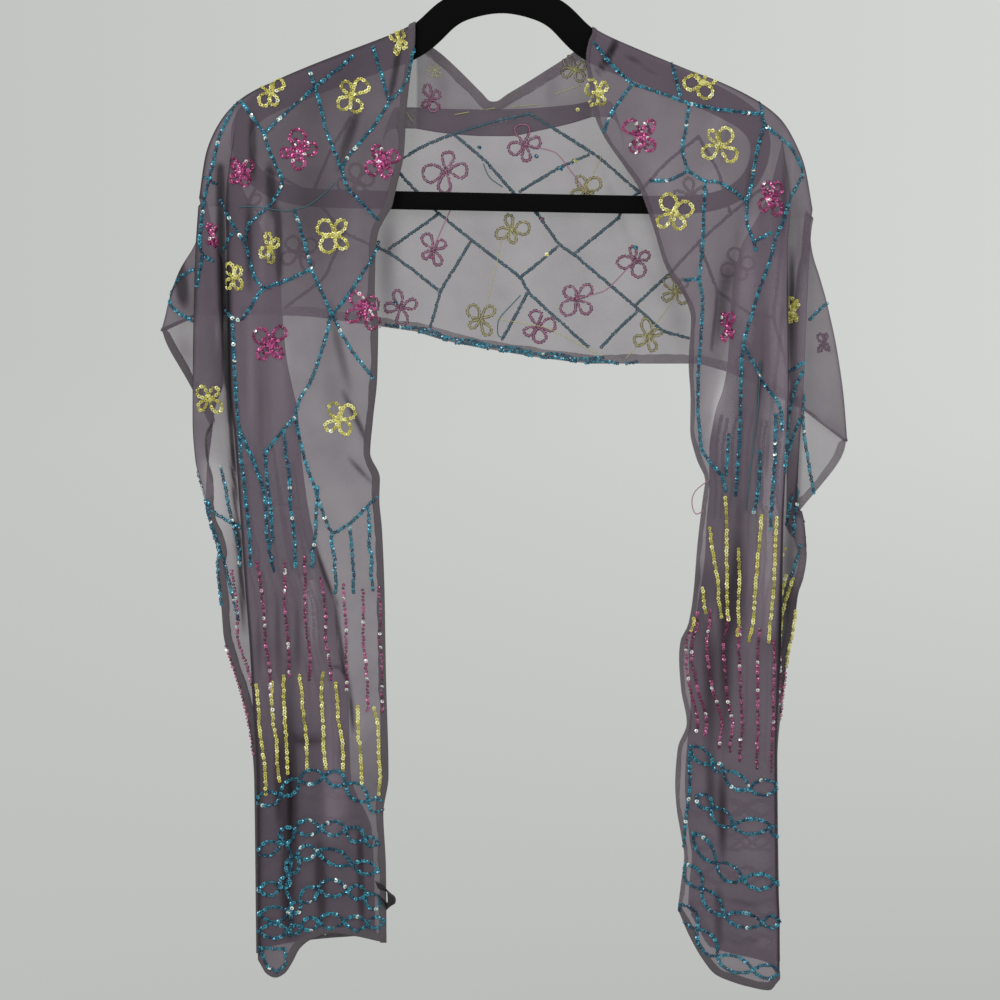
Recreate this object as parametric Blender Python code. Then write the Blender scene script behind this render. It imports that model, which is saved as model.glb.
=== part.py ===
"""A long chiffon scarf draped like a stole over a flat flocked clothes hanger.

The frame: X runs to the viewer's right, Y runs away towards the wall behind, Z is up, and the
origin is the inner top of the hook, where a rail carries it. The scarf is one rectangle of cloth.
Its middle hangs behind the hanger, it passes over both arms, and its two ends fall in front, each
pleated into three layers. Every stretch of it is a thin wall made from a grid of points.

Sizes in the tables are millimetres. Depths (y) are negative towards the viewer.
"""

import math
from collections import namedtuple

import bmesh
import bpy
from mathutils import Vector

MM = 0.001

# The cloth
WALL = 1.2
SEAM = 0.3
HEM_WIDTH = 7.0
HEM_WALL = 0.8
FOLD_RADIUS = 1.7
FOLD_STEPS = 4

# The hanger
BODY_THICKNESS = 5.0
BODY_CHAMFER = 1.2
BODY_STEPS = 88
HANGER_TILT = math.radians(1.1)
HOOK_WIRE = 3.6
HOOK_BEND = 21.0
HOOK_STEM = 6.0
HOOK_FROM = -55
HOOK_TO = 195
HOOK_TURN = 10
HOOK_SIDES = 10
COLLAR_RADIUS = 5.0
COLLAR_HEIGHT = 4.0
COLLAR_TAPER = 0.6
FACES_UP = 0.05

# How the cloth sits on the hanger
SADDLE_RADIUS = 5.6
SADDLE_STEPS = 6
SHOULDER_COLUMNS = 18
LEG_STEPS = 3
BACK_LEG_START = LEG_STEPS + SADDLE_STEPS
STEEP_FROM = 0.75
NECK_COLUMNS = 13
NECK_STEPS = 4
WING_ROWS = 9
WING_BACK_STEPS = 2
FALL_ROWS = 10
END_ROWS = 10
SEAT = 0.65
BACK_DEPTH = 5.6

# One row for each turn of the band that the hanger body is cut from, from the peak of its arch
# down the arm, round the tip and in along the bar: its middle line and its half width.
BandRow = namedtuple("BandRow", "x z half_width")
BAND = [
    BandRow(0, -77.5, 9.5),
    BandRow(24, -81, 10.5),
    BandRow(46, -94, 12),
    BandRow(68, -109, 12),
    BandRow(100, -122.5, 11.5),
    BandRow(147, -141, 11),
    BandRow(193, -163.5, 10),
    BandRow(204, -176.5, 8),
    BandRow(202, -193, 7),
    BandRow(196, -211, 7),
    BandRow(176, -226, 7),
    BandRow(150, -231, 7),
    BandRow(75, -231.5, 7),
    BandRow(0, -231.5, 7),
]

# The line along which the cloth turns over each arm, from the neck to the tip and on down the
# turned corner to the level of the bar.
TopPoint = namedtuple("TopPoint", "x z")
LEFT_TOP = [
    TopPoint(-69.6, -96),
    TopPoint(-85, -103),
    TopPoint(-102, -111),
    TopPoint(-151, -129),
    TopPoint(-179, -138),
    TopPoint(-204, -151),
    TopPoint(-222, -171),
    TopPoint(-232, -195),
    TopPoint(-237, -228),
]
RIGHT_TOP = [
    TopPoint(67.6, -96),
    TopPoint(85, -109),
    TopPoint(112, -117),
    TopPoint(142, -129),
    TopPoint(168, -139),
    TopPoint(197, -154),
    TopPoint(214, -168),
    TopPoint(224, -184),
    TopPoint(232, -204),
    TopPoint(238, -237),
]

# Where the lengthwise lines of each shoulder end: reach runs from the neck, 0, to the turned
# corner, 1. The front leg stops at the bar's level, and the back leg runs down to the lower hem.
ShoulderRow = namedtuple("ShoulderRow", "reach front_x front_y back_x back_z")
LEFT_SHOULDER = [
    ShoulderRow(0.00, -89, -11.5, -69.6, -331),
    ShoulderRow(0.30, -134, -13.4, -112, -324),
    ShoulderRow(0.58, -204, -16.2, -160, -319),
    ShoulderRow(0.64, -215, -16.9, -171, -318),
    ShoulderRow(0.70, -219, -7.0, -182, -318),
    ShoulderRow(0.85, -228, -6.4, -212, -318),
    ShoulderRow(1.00, -232, -6.1, -239, -319),
]
RIGHT_SHOULDER = [
    ShoulderRow(0.00, 110, -11.5, 67.6, -356),
    ShoulderRow(0.30, 150, -12.0, 118, -356),
    ShoulderRow(0.45, 177, -12.0, 145, -356),
    ShoulderRow(0.60, 207, -16.2, 168, -361),
    ShoulderRow(0.68, 217, -16.9, 180, -365),
    ShoulderRow(0.73, 220, -7.0, 190, -370),
    ShoulderRow(0.87, 228, -6.4, 212, -382),
    ShoulderRow(1.00, 233, -6.1, 230, -391),
]
LEFT_YOKE = -236.0
RIGHT_YOKE = -245.0

# Sections across each fall, from the bar's level down to the end hem. The cloth runs from its
# inner hem out to the ridge, back under it to the tuck, and out again to its outer edge. belly
# is how far the ridge stands forward of a flat section, and dent is the depth of the soft trough
# in the front layer. The *_drop columns hang that place lower than z, and arch lifts the middle
# of the front layer.
FallRow = namedtuple(
    "FallRow", "z inner ridge tuck outer belly dent ridge_drop tuck_drop outer_drop arch"
)
LEFT_FALL = [
    FallRow(-236, -89, -216, -199, -236, 0, 0, 0, 0, 0, 0),
    FallRow(-270, -99, -218, -192, -238, 4, 1, 0, 0, 0, 0),
    FallRow(-331, -99, -215, -182, -239, 9, 3, 0, 0, 0, 0),
    FallRow(-371, -99, -213, -169, -241, 10, 4, 0, 0, 0, 0),
    FallRow(-408, -103, -208, -157, -241, 9, 4, 0, 0, 0, 0),
    FallRow(-462, -97, -204, -154, -233, 7, 3, 0, 0, 0, 0),
    FallRow(-500, -95, -201, -146, -221, 5, 2, 0, 0, 0, 0),
]
LEFT_END = [
    FallRow(-500, -95, -201, -146, -221, 5, 2, 0, 0, 0, 0),
    FallRow(-531, -93, -199, -139, -218, 4, 2, 0, 0, 0, 0),
    FallRow(-578, -92, -196, -123, -211, 3, 1, 0, 0, 0, 0),
    FallRow(-616, -91, -194, -121, -199, 2, 1, 0, 0, 0, 0),
    FallRow(-675, -90, -192, -122, -194, 2, 1, 12, 4, 12, 12),
    FallRow(-740, -92, -190, -127, -193, 1, 1, 18, 4, 16, 12),
    FallRow(-807, -92, -189, -130, -192, 0, 0, 22, -6, 10, 14),
]
RIGHT_FALL = [
    FallRow(-245, 110, 219, 194, 238, 0, 3, 0, 0, 0, 0),
    FallRow(-280, 122, 218, 185, 236, 5, 6, 0, 0, 0, 0),
    FallRow(-308, 137, 218, 179, 233, 8, 7, 0, 0, 0, 0),
    FallRow(-341, 142, 218, 173, 232, 10, 6, 0, 0, 0, 0),
    FallRow(-370, 142, 218, 168, 230, 10, 5, 0, 0, 0, 0),
    FallRow(-416, 145, 216, 156, 228, 9, 3, 0, 0, 0, 0),
    FallRow(-452, 153, 215, 161, 226, 9, 2, 0, 0, 0, 0),
    FallRow(-474, 150, 214, 162, 231, 5, 2, 0, 0, 0, 0),
    FallRow(-504, 148, 213, 162, 233, 4, 2, 0, 0, 0, 0),
]
RIGHT_END = [
    FallRow(-504, 148, 213, 162, 233, 4, 2, 0, 0, 0, 0),
    FallRow(-534, 145, 213, 159, 226, 3, 2, 0, 0, 0, 0),
    FallRow(-583, 134, 211, 150, 218, 2, 1, 2, 0, 2, 0),
    FallRow(-616, 136, 209, 148, 214, 2, 1, 6, 2, 6, -4),
    FallRow(-655, 132, 207, 147, 211, 1, 1, 18, 6, 16, -8),
    FallRow(-719, 135, 207, 150, 210, 1, 1, 36, 10, 26, -12),
    FallRow(-783, 134, 209, 151, 212, 0, 0, 52, 14, 34, -20),
]

# Depths of a flat section
INNER_DEPTH = -11.5
RIDGE_DEPTH = -15.0
TUCK_DEPTH = -8.5
OUTER_DEPTH = -6.0

# Where a section's points lie between its turns, as shares of each layer
FRONT_SHARES = (0.25, 0.4, 0.55, 0.7, 0.87)
MIDDLE_SHARES = (0.3, 0.7)
OUTER_SHARES = (0.25, 0.5)

# Sections round each turned corner: from a root behind the fall out to the side and back to a
# root at the shoulder's back leg, ending at the hem.
WingRow = namedtuple("WingRow", "side_x side_z front_x front_z back_z")
LEFT_WING = [
    WingRow(-237, -229.8, -226, -236.3, -236.3),
    WingRow(-239, -261, -226, -270, -258),
    WingRow(-250, -285, -226, -308, -280),
    WingRow(-260, -308, -227, -346, -300),
    WingRow(-265, -327, -228, -383, -319),
]
RIGHT_WING = [
    WingRow(238, -239.2, 226, -245.3, -245.3),
    WingRow(240, -272, 223, -290, -275),
    WingRow(249, -308, 221, -340, -308),
    WingRow(257, -345, 219, -392, -340),
    WingRow(262, -380, 217, -440, -366),
    WingRow(265, -411, 217, -482, -391),
]
WING_FRONT_DEPTH = -2.4

# The back of the neck. The flap hangs from the hem at the neck down to the tuck, the cloth turns
# up from there to the roll, and from the roll the main layer hangs down to the lower hem.
NeckRow = namedtuple("NeckRow", "x hem_z roll_z tuck_z lower_z")
NECK = [
    NeckRow(-69.3, -99, -157, -173, -331),
    NeckRow(-50, -109, -158, -176, -337),
    NeckRow(-33, -126, -158.5, -178, -341),
    NeckRow(-10, -148, -159, -179, -345),
    NeckRow(3, -147, -158.5, -179, -347.5),
    NeckRow(19, -134, -158, -176, -350),
    NeckRow(49, -113, -155, -169, -354),
    NeckRow(67.3, -99, -152, -164, -356),
]

# The bare satin loop in the inner hem of the left end
LOOP_ABOVE_END = 28.0
LOOP_LENGTH = 26.0
LOOP_WIDTH = 14.0
LOOP_PROUD = 8.0
LOOP_WALL = 0.8
LOOP_RADIUS = 0.75
LOOP_LEAN = 2.0


def material(name, colour, roughness, metallic=0.0):
    made = bpy.data.materials.new(name)
    made.use_nodes = True
    shader = made.node_tree.nodes["Principled BSDF"]
    shader.inputs["Base Color"].default_value = (*colour, 1.0)
    shader.inputs["Roughness"].default_value = roughness
    shader.inputs["Metallic"].default_value = metallic
    return made


def add_object(name, shape, finish):
    """Turns a bmesh in millimetres into an object in metres, with its faces outwards."""
    bmesh.ops.recalc_face_normals(shape, faces=shape.faces)
    bmesh.ops.scale(shape, vec=(MM, MM, MM), verts=shape.verts)
    mesh = bpy.data.meshes.new(name)
    shape.to_mesh(mesh)
    shape.free()
    mesh.shade_smooth()
    mesh.set_sharp_from_angle(angle=math.radians(40))
    mesh.materials.append(finish)
    made = bpy.data.objects.new(name, mesh)
    bpy.context.scene.collection.objects.link(made)
    return made


def monotone(keys, values, at):
    """A smooth curve through the values at rising keys that never overshoots them."""
    last = len(keys) - 2
    cell = 0
    while cell < last and at > keys[cell + 1]:
        cell += 1
    slopes = [
        (values[i + 1] - values[i]) / (keys[i + 1] - keys[i]) for i in range(len(keys) - 1)
    ]

    def tangent(i):
        if i == 0:
            return slopes[0]
        if i == len(keys) - 1:
            return slopes[-1]
        before, after = slopes[i - 1], slopes[i]
        if before * after <= 0:
            return 0.0
        return 2 * before * after / (before + after)

    width = keys[cell + 1] - keys[cell]
    t = min(max((at - keys[cell]) / width, 0.0), 1.0)
    start = (1 + 2 * t) * (1 - t) ** 2 * values[cell]
    start += t * (1 - t) ** 2 * width * tangent(cell)
    end = t * t * (3 - 2 * t) * values[cell + 1]
    end += t * t * (t - 1) * width * tangent(cell + 1)
    return start + end


def row_at(table, keys, at):
    """The row of a table at a place between its own rows."""
    row_type = type(table[0])
    return row_type(*(monotone(keys, column, at) for column in zip(*table)))


def run_length(table):
    """Rising keys for a table: the distance run between its rows' first two columns."""
    keys = [0.0]
    for before, after in zip(table, table[1:]):
        keys.append(keys[-1] + math.dist(before[:2], after[:2]))
    return keys


def spread(table, keys, count):
    """That many rows, evenly spread along the keys."""
    step = (keys[-1] - keys[0]) / (count - 1)
    return [row_at(table, keys, keys[0] + step * i) for i in range(count)]


def between(start, end, count):
    """Points evenly spread from start to one step short of end."""
    return [start.lerp(end, k / count) for k in range(count)]


def hem_line(edge, inside):
    """The point on the way from an edge to a point inside it where a hem is sewn down."""
    return edge + (inside - edge).normalized() * HEM_WIDTH


def grid_normals(grid):
    """The way from the viewer's side to the other, or back, at each point of a grid."""
    rows, columns = len(grid), len(grid[0])
    normals = []
    for i in range(rows):
        line = []
        for j in range(columns):
            down = grid[min(i + 1, rows - 1)][j] - grid[max(i - 1, 0)][j]
            across = grid[i][min(j + 1, columns - 1)] - grid[i][max(j - 1, 0)]
            line.append(down.cross(across).normalized())
        normals.append(line)
    return normals


def cloth(name, grid, finish, wall=WALL, shift=0.0):
    """A closed wall of even thickness about a grid of points. shift moves its middle."""
    normals = grid_normals(grid)
    rows, columns = len(grid), len(grid[0])
    shape = bmesh.new()

    def skin(offset):
        return [
            [shape.verts.new(grid[i][j] + normals[i][j] * offset) for j in range(columns)]
            for i in range(rows)
        ]

    front = skin(shift - wall / 2)
    back = skin(shift + wall / 2)
    for layer in (front, back):
        for i in range(rows - 1):
            for j in range(columns - 1):
                shape.faces.new(
                    (layer[i][j], layer[i + 1][j], layer[i + 1][j + 1], layer[i][j + 1])
                )
    rim = [(0, j) for j in range(columns)]
    rim += [(i, columns - 1) for i in range(1, rows)]
    rim += [(rows - 1, j) for j in range(columns - 2, -1, -1)]
    rim += [(i, 0) for i in range(rows - 2, 0, -1)]
    for (i, j), (k, m) in zip(rim, rim[1:] + rim[:1]):
        shape.faces.new((front[i][j], front[k][m], back[k][m], back[i][j]))
    return add_object(name, shape, finish)


def tilted(x, z):
    """The hanger hangs a little low on its right: a turn about the hook."""
    turn_cos, turn_sin = math.cos(HANGER_TILT), math.sin(HANGER_TILT)
    return x * turn_cos + z * turn_sin, z * turn_cos - x * turn_sin


def band_loop():
    """The closed middle line of the hanger's band, with the way out of it and its half width."""
    half = spread(BAND, run_length(BAND), BODY_STEPS // 2 + 1)
    loop = half[:-1] + [BandRow(-row.x, row.z, row.half_width) for row in half[:0:-1]]
    rows = []
    for before, row, after in zip(loop[-1:] + loop[:-1], loop, loop[1:] + loop[:1]):
        along = Vector((after.x - before.x, after.z - before.z)).normalized()
        rows.append((row, Vector((-along.y, along.x))))
    return rows


def hanger_body(finish):
    """The flat band, swept round as a chamfered section, arch, arms and bar in one piece."""
    half = BODY_THICKNESS / 2
    shape = bmesh.new()
    rings = []
    for row, outward in band_loop():
        w, c = row.half_width, BODY_CHAMFER
        section = [
            (w, half - c), (w - c, half), (c - w, half), (-w, half - c),
            (-w, c - half), (c - w, -half), (w - c, -half), (w, c - half),
        ]
        ring = []
        for out, depth in section:
            x, z = tilted(row.x + outward.x * out, row.z + outward.y * out)
            ring.append(shape.verts.new((x, depth, z)))
        rings.append(ring)
    sides = len(rings[0])
    for ring, after in zip(rings, rings[1:] + rings[:1]):
        for k in range(sides):
            m = (k + 1) % sides
            shape.faces.new((ring[k], ring[m], after[m], after[k]))
    return add_object("hanger_body", shape, finish)


def arm_edge():
    """The upper edge of the arms as (x, z) pairs in order of x."""
    edge = []
    for row, outward in band_loop():
        if outward.y > FACES_UP:
            edge.append(
                tilted(row.x + outward.x * row.half_width, row.z + outward.y * row.half_width)
            )
    return sorted(edge)


def height_of(edge, x):
    """The height of the arms' upper edge at x, or None beside the hanger."""
    for (x0, z0), (x1, z1) in zip(edge, edge[1:]):
        if x0 <= x <= x1:
            return z0 + (z1 - z0) * (x - x0) / (x1 - x0)
    return None


def hook_route():
    """The hook's middle line: up from the body, round to the right and over to its tip."""
    bend = HOOK_BEND + HOOK_WIRE / 2
    foot_x, foot_z = tilted(0, BAND[0].z + BAND[0].half_width)
    centre_z = -HOOK_BEND
    route = [(foot_x, foot_z + SEAM), (foot_x, foot_z + HOOK_STEM)]
    for degrees in range(HOOK_FROM, HOOK_TO + 1, HOOK_TURN):
        angle = math.radians(degrees)
        route.append((bend * math.cos(angle), centre_z + bend * math.sin(angle)))
    return [Vector((x, 0, z)) for x, z in route]


def swept_tube(name, route, radii, finish):
    """A round bar along a flat route in the XZ plane, with a radius for each point."""
    shape = bmesh.new()
    rings = []
    for i, point in enumerate(route):
        along = route[min(i + 1, len(route) - 1)] - route[max(i - 1, 0)]
        side = Vector((along.z, 0, -along.x)).normalized()
        ring = []
        for k in range(HOOK_SIDES):
            angle = math.tau * k / HOOK_SIDES
            offset = side * math.cos(angle) + Vector((0, 1, 0)) * math.sin(angle)
            ring.append(shape.verts.new(point + offset * radii[i]))
        rings.append(ring)
    for ring, after in zip(rings, rings[1:]):
        for k in range(HOOK_SIDES):
            m = (k + 1) % HOOK_SIDES
            shape.faces.new((ring[k], ring[m], after[m], after[k]))
    shape.faces.new(rings[0])
    shape.faces.new(rings[-1])
    return add_object(name, shape, finish)


def hanger_hook(finish):
    """The bent wire, standing on a round collar."""
    foot, *rest = hook_route()
    top = foot + Vector((0, 0, COLLAR_HEIGHT))
    neck = top + Vector((0, 0, COLLAR_TAPER))
    wire = HOOK_WIRE / 2
    route = [foot, top, neck] + rest
    radii = [COLLAR_RADIUS, COLLAR_RADIUS] + [wire] * (len(route) - 2)
    return swept_tube("hanger_hook", route, radii, finish)


def inward_of(along):
    """The way into the saddle: straight down over the arm, sideways down the turned corner."""
    steep = max(0.0, (abs(along.z) - STEEP_FROM) / (1 - STEEP_FROM))
    return Vector((math.copysign(steep, -along.x), 0, -math.sqrt(1 - steep * steep)))


def shoulder(name, top_table, leg_table, yoke_z, edge, finish):
    """The cloth over one arm: down in front to the bar's level and behind to the lower hem."""
    top = spread(top_table, run_length(top_table), SHOULDER_COLUMNS)
    reach = [row.reach for row in leg_table]
    lift = WALL / 2 + SEAT
    grid = []
    for i, point in enumerate(top):
        before, after = top[max(i - 1, 0)], top[min(i + 1, SHOULDER_COLUMNS - 1)]
        along = Vector((after.x - before.x, 0, after.z - before.z)).normalized()
        inward = inward_of(along)
        legs = row_at(leg_table, reach, i / (SHOULDER_COLUMNS - 1))
        arm = height_of(edge, point.x)
        z = point.z if arm is None else max(point.z, arm + lift)
        apex = Vector((point.x, 0, z))
        over = []
        for k in range(SADDLE_STEPS + 1):
            angle = math.pi * (k / SADDLE_STEPS - 0.5)
            over.append(
                apex
                + inward * SADDLE_RADIUS * (1 - math.cos(angle))
                + Vector((0, SADDLE_RADIUS * math.sin(angle), 0))
            )
        front = Vector((legs.front_x, legs.front_y, yoke_z))
        back = Vector((legs.back_x, BACK_DEPTH, legs.back_z))
        line = between(front, over[0], LEG_STEPS) + over
        line += between(over[-1], back, LEG_STEPS)[1:]
        line += [hem_line(back, over[-1]), back]
        grid.append(line)
    cloth(name, grid, finish)
    return grid


def section(row):
    """One line across a fall, from its inner hem round the ridge and the tuck to its outer
    edge, and the number of its points that lie on the front layer."""
    out = 1 if row.ridge > row.inner else -1
    r = FOLD_RADIUS
    points = []

    def layer(start, end, shares, arch=0.0, dent=0.0):
        for share in shares:
            point = Vector(start).lerp(Vector(end), share)
            point.z += arch * math.sin(math.pi * share)
            point.y += dent * math.sin(math.pi * share) ** 4
            points.append(point)

    def fold(x, y, z, way):
        """A half turn from the layer in front to the one behind, bulging way along X."""
        for k in range(FOLD_STEPS + 1):
            angle = math.pi * (k / FOLD_STEPS - 0.5)
            bulge = way * r * (math.cos(angle) - 1)
            points.append(Vector((x + bulge, y + r * math.sin(angle), z)))

    z = row.z
    inner = (row.inner, INNER_DEPTH - row.belly / 2, z)
    ridge = (row.ridge, RIDGE_DEPTH - row.belly, z - row.ridge_drop)
    tuck = (row.tuck, TUCK_DEPTH - row.belly / 2, z - row.tuck_drop)
    outer = (row.outer, OUTER_DEPTH - row.belly / 3, z - row.outer_drop)
    hem = HEM_WIDTH / abs(row.ridge - row.inner)
    edge = HEM_WIDTH / abs(row.outer - row.tuck)
    layer(
        inner,
        (ridge[0] - out * r, ridge[1] - r, ridge[2]),
        (0, hem, *FRONT_SHARES),
        row.arch,
        row.dent,
    )
    front_count = len(points)
    fold(*ridge, out)
    layer(
        (ridge[0] - out * r, ridge[1] + r, ridge[2]),
        (tuck[0] + out * r, tuck[1] - r, tuck[2]),
        MIDDLE_SHARES,
    )
    fold(*tuck, -out)
    layer((tuck[0] + out * r, tuck[1] + r, tuck[2]), outer, (*OUTER_SHARES, 1 - edge, 1))
    return points, front_count


def fall(name, table, count, finish, cut_top, cut_bottom):
    """One pleated stretch, and its grid. Half a seam is cut off where a neighbour joins it."""
    table = list(table)
    table[0] = table[0]._replace(z=table[0].z - cut_top * SEAM / 2)
    table[-1] = table[-1]._replace(z=table[-1].z + cut_bottom * SEAM / 2)
    rows = spread(table, [-row.z for row in table], count)
    grid = [section(row)[0] for row in rows]
    cloth(name, grid, finish)
    return grid


def above_end(table, height):
    """The section that lies a little above the last one of a table."""
    return row_at(table, [-row.z for row in table], -table[-1].z - height)


def wing(name, table, side_top, side_foot, finish):
    """The turned corner: in front from its root to the side, round it, and back behind, to a
    root a seam away from the line of the shoulder's side."""
    out = 1 if table[0].side_x > 0 else -1
    middle = (WING_FRONT_DEPTH + BACK_DEPTH) / 2
    radius = (BACK_DEPTH - WING_FRONT_DEPTH) / 2
    grid = []
    for row in spread(table, run_length(table), WING_ROWS):
        front = Vector((row.front_x, WING_FRONT_DEPTH, row.front_z))
        share = (side_top.z - row.back_z) / (side_top.z - side_foot.z)
        root_x = side_top.x + (side_foot.x - side_top.x) * share + out * SEAM
        back = Vector((root_x, BACK_DEPTH, row.back_z))
        turn = []
        for k in range(SADDLE_STEPS + 1):
            angle = math.pi * (k / SADDLE_STEPS - 0.5)
            x = row.side_x + out * radius * (math.cos(angle) - 1)
            turn.append(Vector((x, middle + radius * math.sin(angle), row.side_z)))
        line = between(front, turn[0], LEG_STEPS) + turn
        line += between(turn[-1], back, WING_BACK_STEPS)[1:] + [back]
        grid.append(line)
    cloth(name, grid, finish)
    return grid


def back_span(finish):
    """The cloth behind the neck: flap, tuck, roll and the main layer down to the hem."""
    r = FOLD_RADIUS
    rise_depth = BACK_DEPTH + 2 * r
    keys = [row.x for row in NECK]
    grid = []
    for row in spread(NECK, keys, NECK_COLUMNS):
        flap_depth = rise_depth + 2 * r
        hem = Vector((row.x, flap_depth, row.hem_z))
        tuck = Vector((row.x, flap_depth, row.tuck_z))
        lower = Vector((row.x, BACK_DEPTH, row.lower_z))
        sewn = hem_line(hem, tuck)
        line = [hem, sewn, (sewn + tuck) / 2]
        for k in range(FOLD_STEPS + 1):
            angle = math.pi * (0.5 - k / FOLD_STEPS)
            depth = rise_depth + r + r * math.sin(angle)
            line.append(Vector((row.x, depth, row.tuck_z + r - r * math.cos(angle))))
        for k in range(FOLD_STEPS + 1):
            angle = math.pi * (0.5 - k / FOLD_STEPS)
            depth = BACK_DEPTH + r + r * math.sin(angle)
            line.append(Vector((row.x, depth, row.roll_z - r + r * math.cos(angle))))
        foot = line[-1]
        line += between(foot, lower, NECK_STEPS)[1:] + [hem_line(lower, foot), lower]
        grid.append(line)
    cloth("back_span", grid, finish)
    return grid


def hem_on(name, grid, side, finish):
    """A hem: a thin band over the strip of grid, moved off the panel to one side of it."""
    shift = side * (WALL / 2 + SEAM + HEM_WALL / 2)
    cloth(name, grid, finish, wall=HEM_WALL, shift=shift)


def inner_hem(name, grid, table, side, finish):
    """The hem down a fall's inner edge, stopping short of the hem across the end."""
    strip = [line[:2] for line in grid[:-1]]
    strip.append(section(above_end(table, HEM_WIDTH + SEAM))[0][:2])
    hem_on(name, strip, side, finish)


def end_hem(name, table, side, finish):
    """The hem across the front layer of an end."""
    strip = []
    for height in (HEM_WIDTH, 0.0):
        points, front_count = section(above_end(table, height))
        strip.append(points[:front_count])
    hem_on(name, strip, side, finish)


def wing_hem(name, grid, side, finish):
    """The hem along the front edge of a turned corner."""
    last = grid[-1][:LEG_STEPS]
    sewn = [hem_line(edge, above) for edge, above in zip(last, grid[-2])]
    hem_on(name, [sewn, last], side, finish)


def end_loop(finish):
    """A folded satin loop, sewn behind the left inner hem and standing out past it."""
    foot = above_end(LEFT_END, LOOP_ABOVE_END)
    panel = section(foot)[0][0]
    r = LOOP_RADIUS
    depth = panel.y + WALL / 2 + SEAM + HEM_WALL + SEAM + LOOP_WALL / 2 + r
    out = panel.x + LOOP_PROUD
    root = out - LOOP_WIDTH
    grid = []
    for share in (1.0, 0.5, 0.0):
        z = foot.z + share * LOOP_LENGTH
        lean = share * LOOP_LEAN
        line = [Vector((root + lean, depth - r, z))]
        for k in range(FOLD_STEPS + 1):
            angle = math.pi * (k / FOLD_STEPS - 0.5)
            x = out + lean - r + r * math.cos(angle)
            line.append(Vector((x, depth + r * math.sin(angle), z)))
        line.append(Vector((root + lean, depth + r, z)))
        grid.append(line)
    cloth("end_loop", grid, finish, wall=LOOP_WALL)


SideShape = namedtuple("SideShape", "top legs yoke_z fall end wing")
LEFT = SideShape(LEFT_TOP, LEFT_SHOULDER, LEFT_YOKE, LEFT_FALL, LEFT_END, LEFT_WING)
RIGHT = SideShape(RIGHT_TOP, RIGHT_SHOULDER, RIGHT_YOKE, RIGHT_FALL, RIGHT_END, RIGHT_WING)


def side_of_scarf(side, shape, edge, chiffon, hem):
    """The four stretches on one side of the neck, and their hems on the wrong side."""
    behind = 1 if side == "left" else -1
    yoke = shape.yoke_z + SEAM / 2
    over_arm = shoulder(f"{side}_shoulder", shape.top, shape.legs, yoke, edge, chiffon)
    upper = fall(f"{side}_fall", shape.fall, FALL_ROWS, chiffon, True, True)
    lower = fall(f"{side}_end", shape.end, END_ROWS, chiffon, True, False)
    side_top, side_foot = over_arm[-1][BACK_LEG_START], over_arm[-1][-1]
    corner = wing(f"{side}_wing", shape.wing, side_top, side_foot, chiffon)
    inner_hem(f"{side}_inner_hem", upper + lower, shape.end, behind, hem)
    end_hem(f"{side}_end_hem", shape.end, behind, hem)
    wing_hem(f"{side}_wing_hem", corner, behind, hem)
    hem_on(f"{side}_back_hem", [line[-2:] for line in over_arm], behind, hem)


def clear_scene():
    for obj in list(bpy.data.objects):
        bpy.data.objects.remove(obj, do_unlink=True)


def main():
    clear_scene()
    flock = material("flock", (0.006, 0.006, 0.007), 0.95)
    steel = material("hook_steel", (0.62, 0.62, 0.64), 0.25, metallic=1.0)
    chiffon = material("chiffon", (0.23, 0.18, 0.22), 0.75)
    hem = material("chiffon_hem", (0.13, 0.10, 0.12), 0.75)
    satin = material("black_satin", (0.01, 0.01, 0.01), 0.35)
    hanger_body(flock)
    hanger_hook(steel)
    neck = back_span(chiffon)
    hem_on("back_hem", [line[-2:] for line in neck], -1, hem)
    hem_on("neck_hem", [line[:2] for line in neck], -1, hem)
    edge = arm_edge()
    side_of_scarf("left", LEFT, edge, chiffon, hem)
    side_of_scarf("right", RIGHT, edge, chiffon, hem)
    end_loop(satin)


main()
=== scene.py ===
# %% [markdown]
# # A chiffon scarf draped over its hanger
#
# The real thing is one long rectangle of dusty mauve silk chiffon, about 1.6 m by 0.25 m, with a
# double-turned hem all round and sequin embroidery on its right side. It hangs like a stole on a
# flat black flocked hanger: the middle hangs behind, and the two ends fall in front, pleated.
# Sizes are millimetres until they reach Blender. X runs to the viewer's right, Y away, Z up, and
# the origin is the inner top of the hook.

import math

import bmesh
import bpy
import numpy as np
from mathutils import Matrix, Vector
from mathutils.bvhtree import BVHTree


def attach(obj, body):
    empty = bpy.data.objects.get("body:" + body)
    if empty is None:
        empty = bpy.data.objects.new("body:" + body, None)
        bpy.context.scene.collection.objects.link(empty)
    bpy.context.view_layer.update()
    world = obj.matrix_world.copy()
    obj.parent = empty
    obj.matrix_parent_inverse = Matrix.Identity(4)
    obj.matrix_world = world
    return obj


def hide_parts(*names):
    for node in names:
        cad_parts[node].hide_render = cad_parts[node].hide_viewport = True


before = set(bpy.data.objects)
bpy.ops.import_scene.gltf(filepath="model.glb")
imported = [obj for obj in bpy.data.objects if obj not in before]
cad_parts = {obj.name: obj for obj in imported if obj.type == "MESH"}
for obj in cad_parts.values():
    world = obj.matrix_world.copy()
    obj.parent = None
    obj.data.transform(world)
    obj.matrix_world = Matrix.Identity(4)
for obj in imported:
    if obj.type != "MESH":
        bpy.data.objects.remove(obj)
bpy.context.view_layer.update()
MM = 0.001

# %% [markdown]
# ## One sheet of cloth
#
# Chiffon could be draped by Blender's cloth simulation, but a scarf that was hung by hand keeps
# the pleats the hand gave it, and a simulation shakes them out. So the sheet is laid out as a
# pattern cutter would: a few lines down its length say where its inner hem, its two folds and
# its outer edge run, and every row of the grid is a section across them. `along` draws a smooth
# line through a short table without overshooting it.

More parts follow.
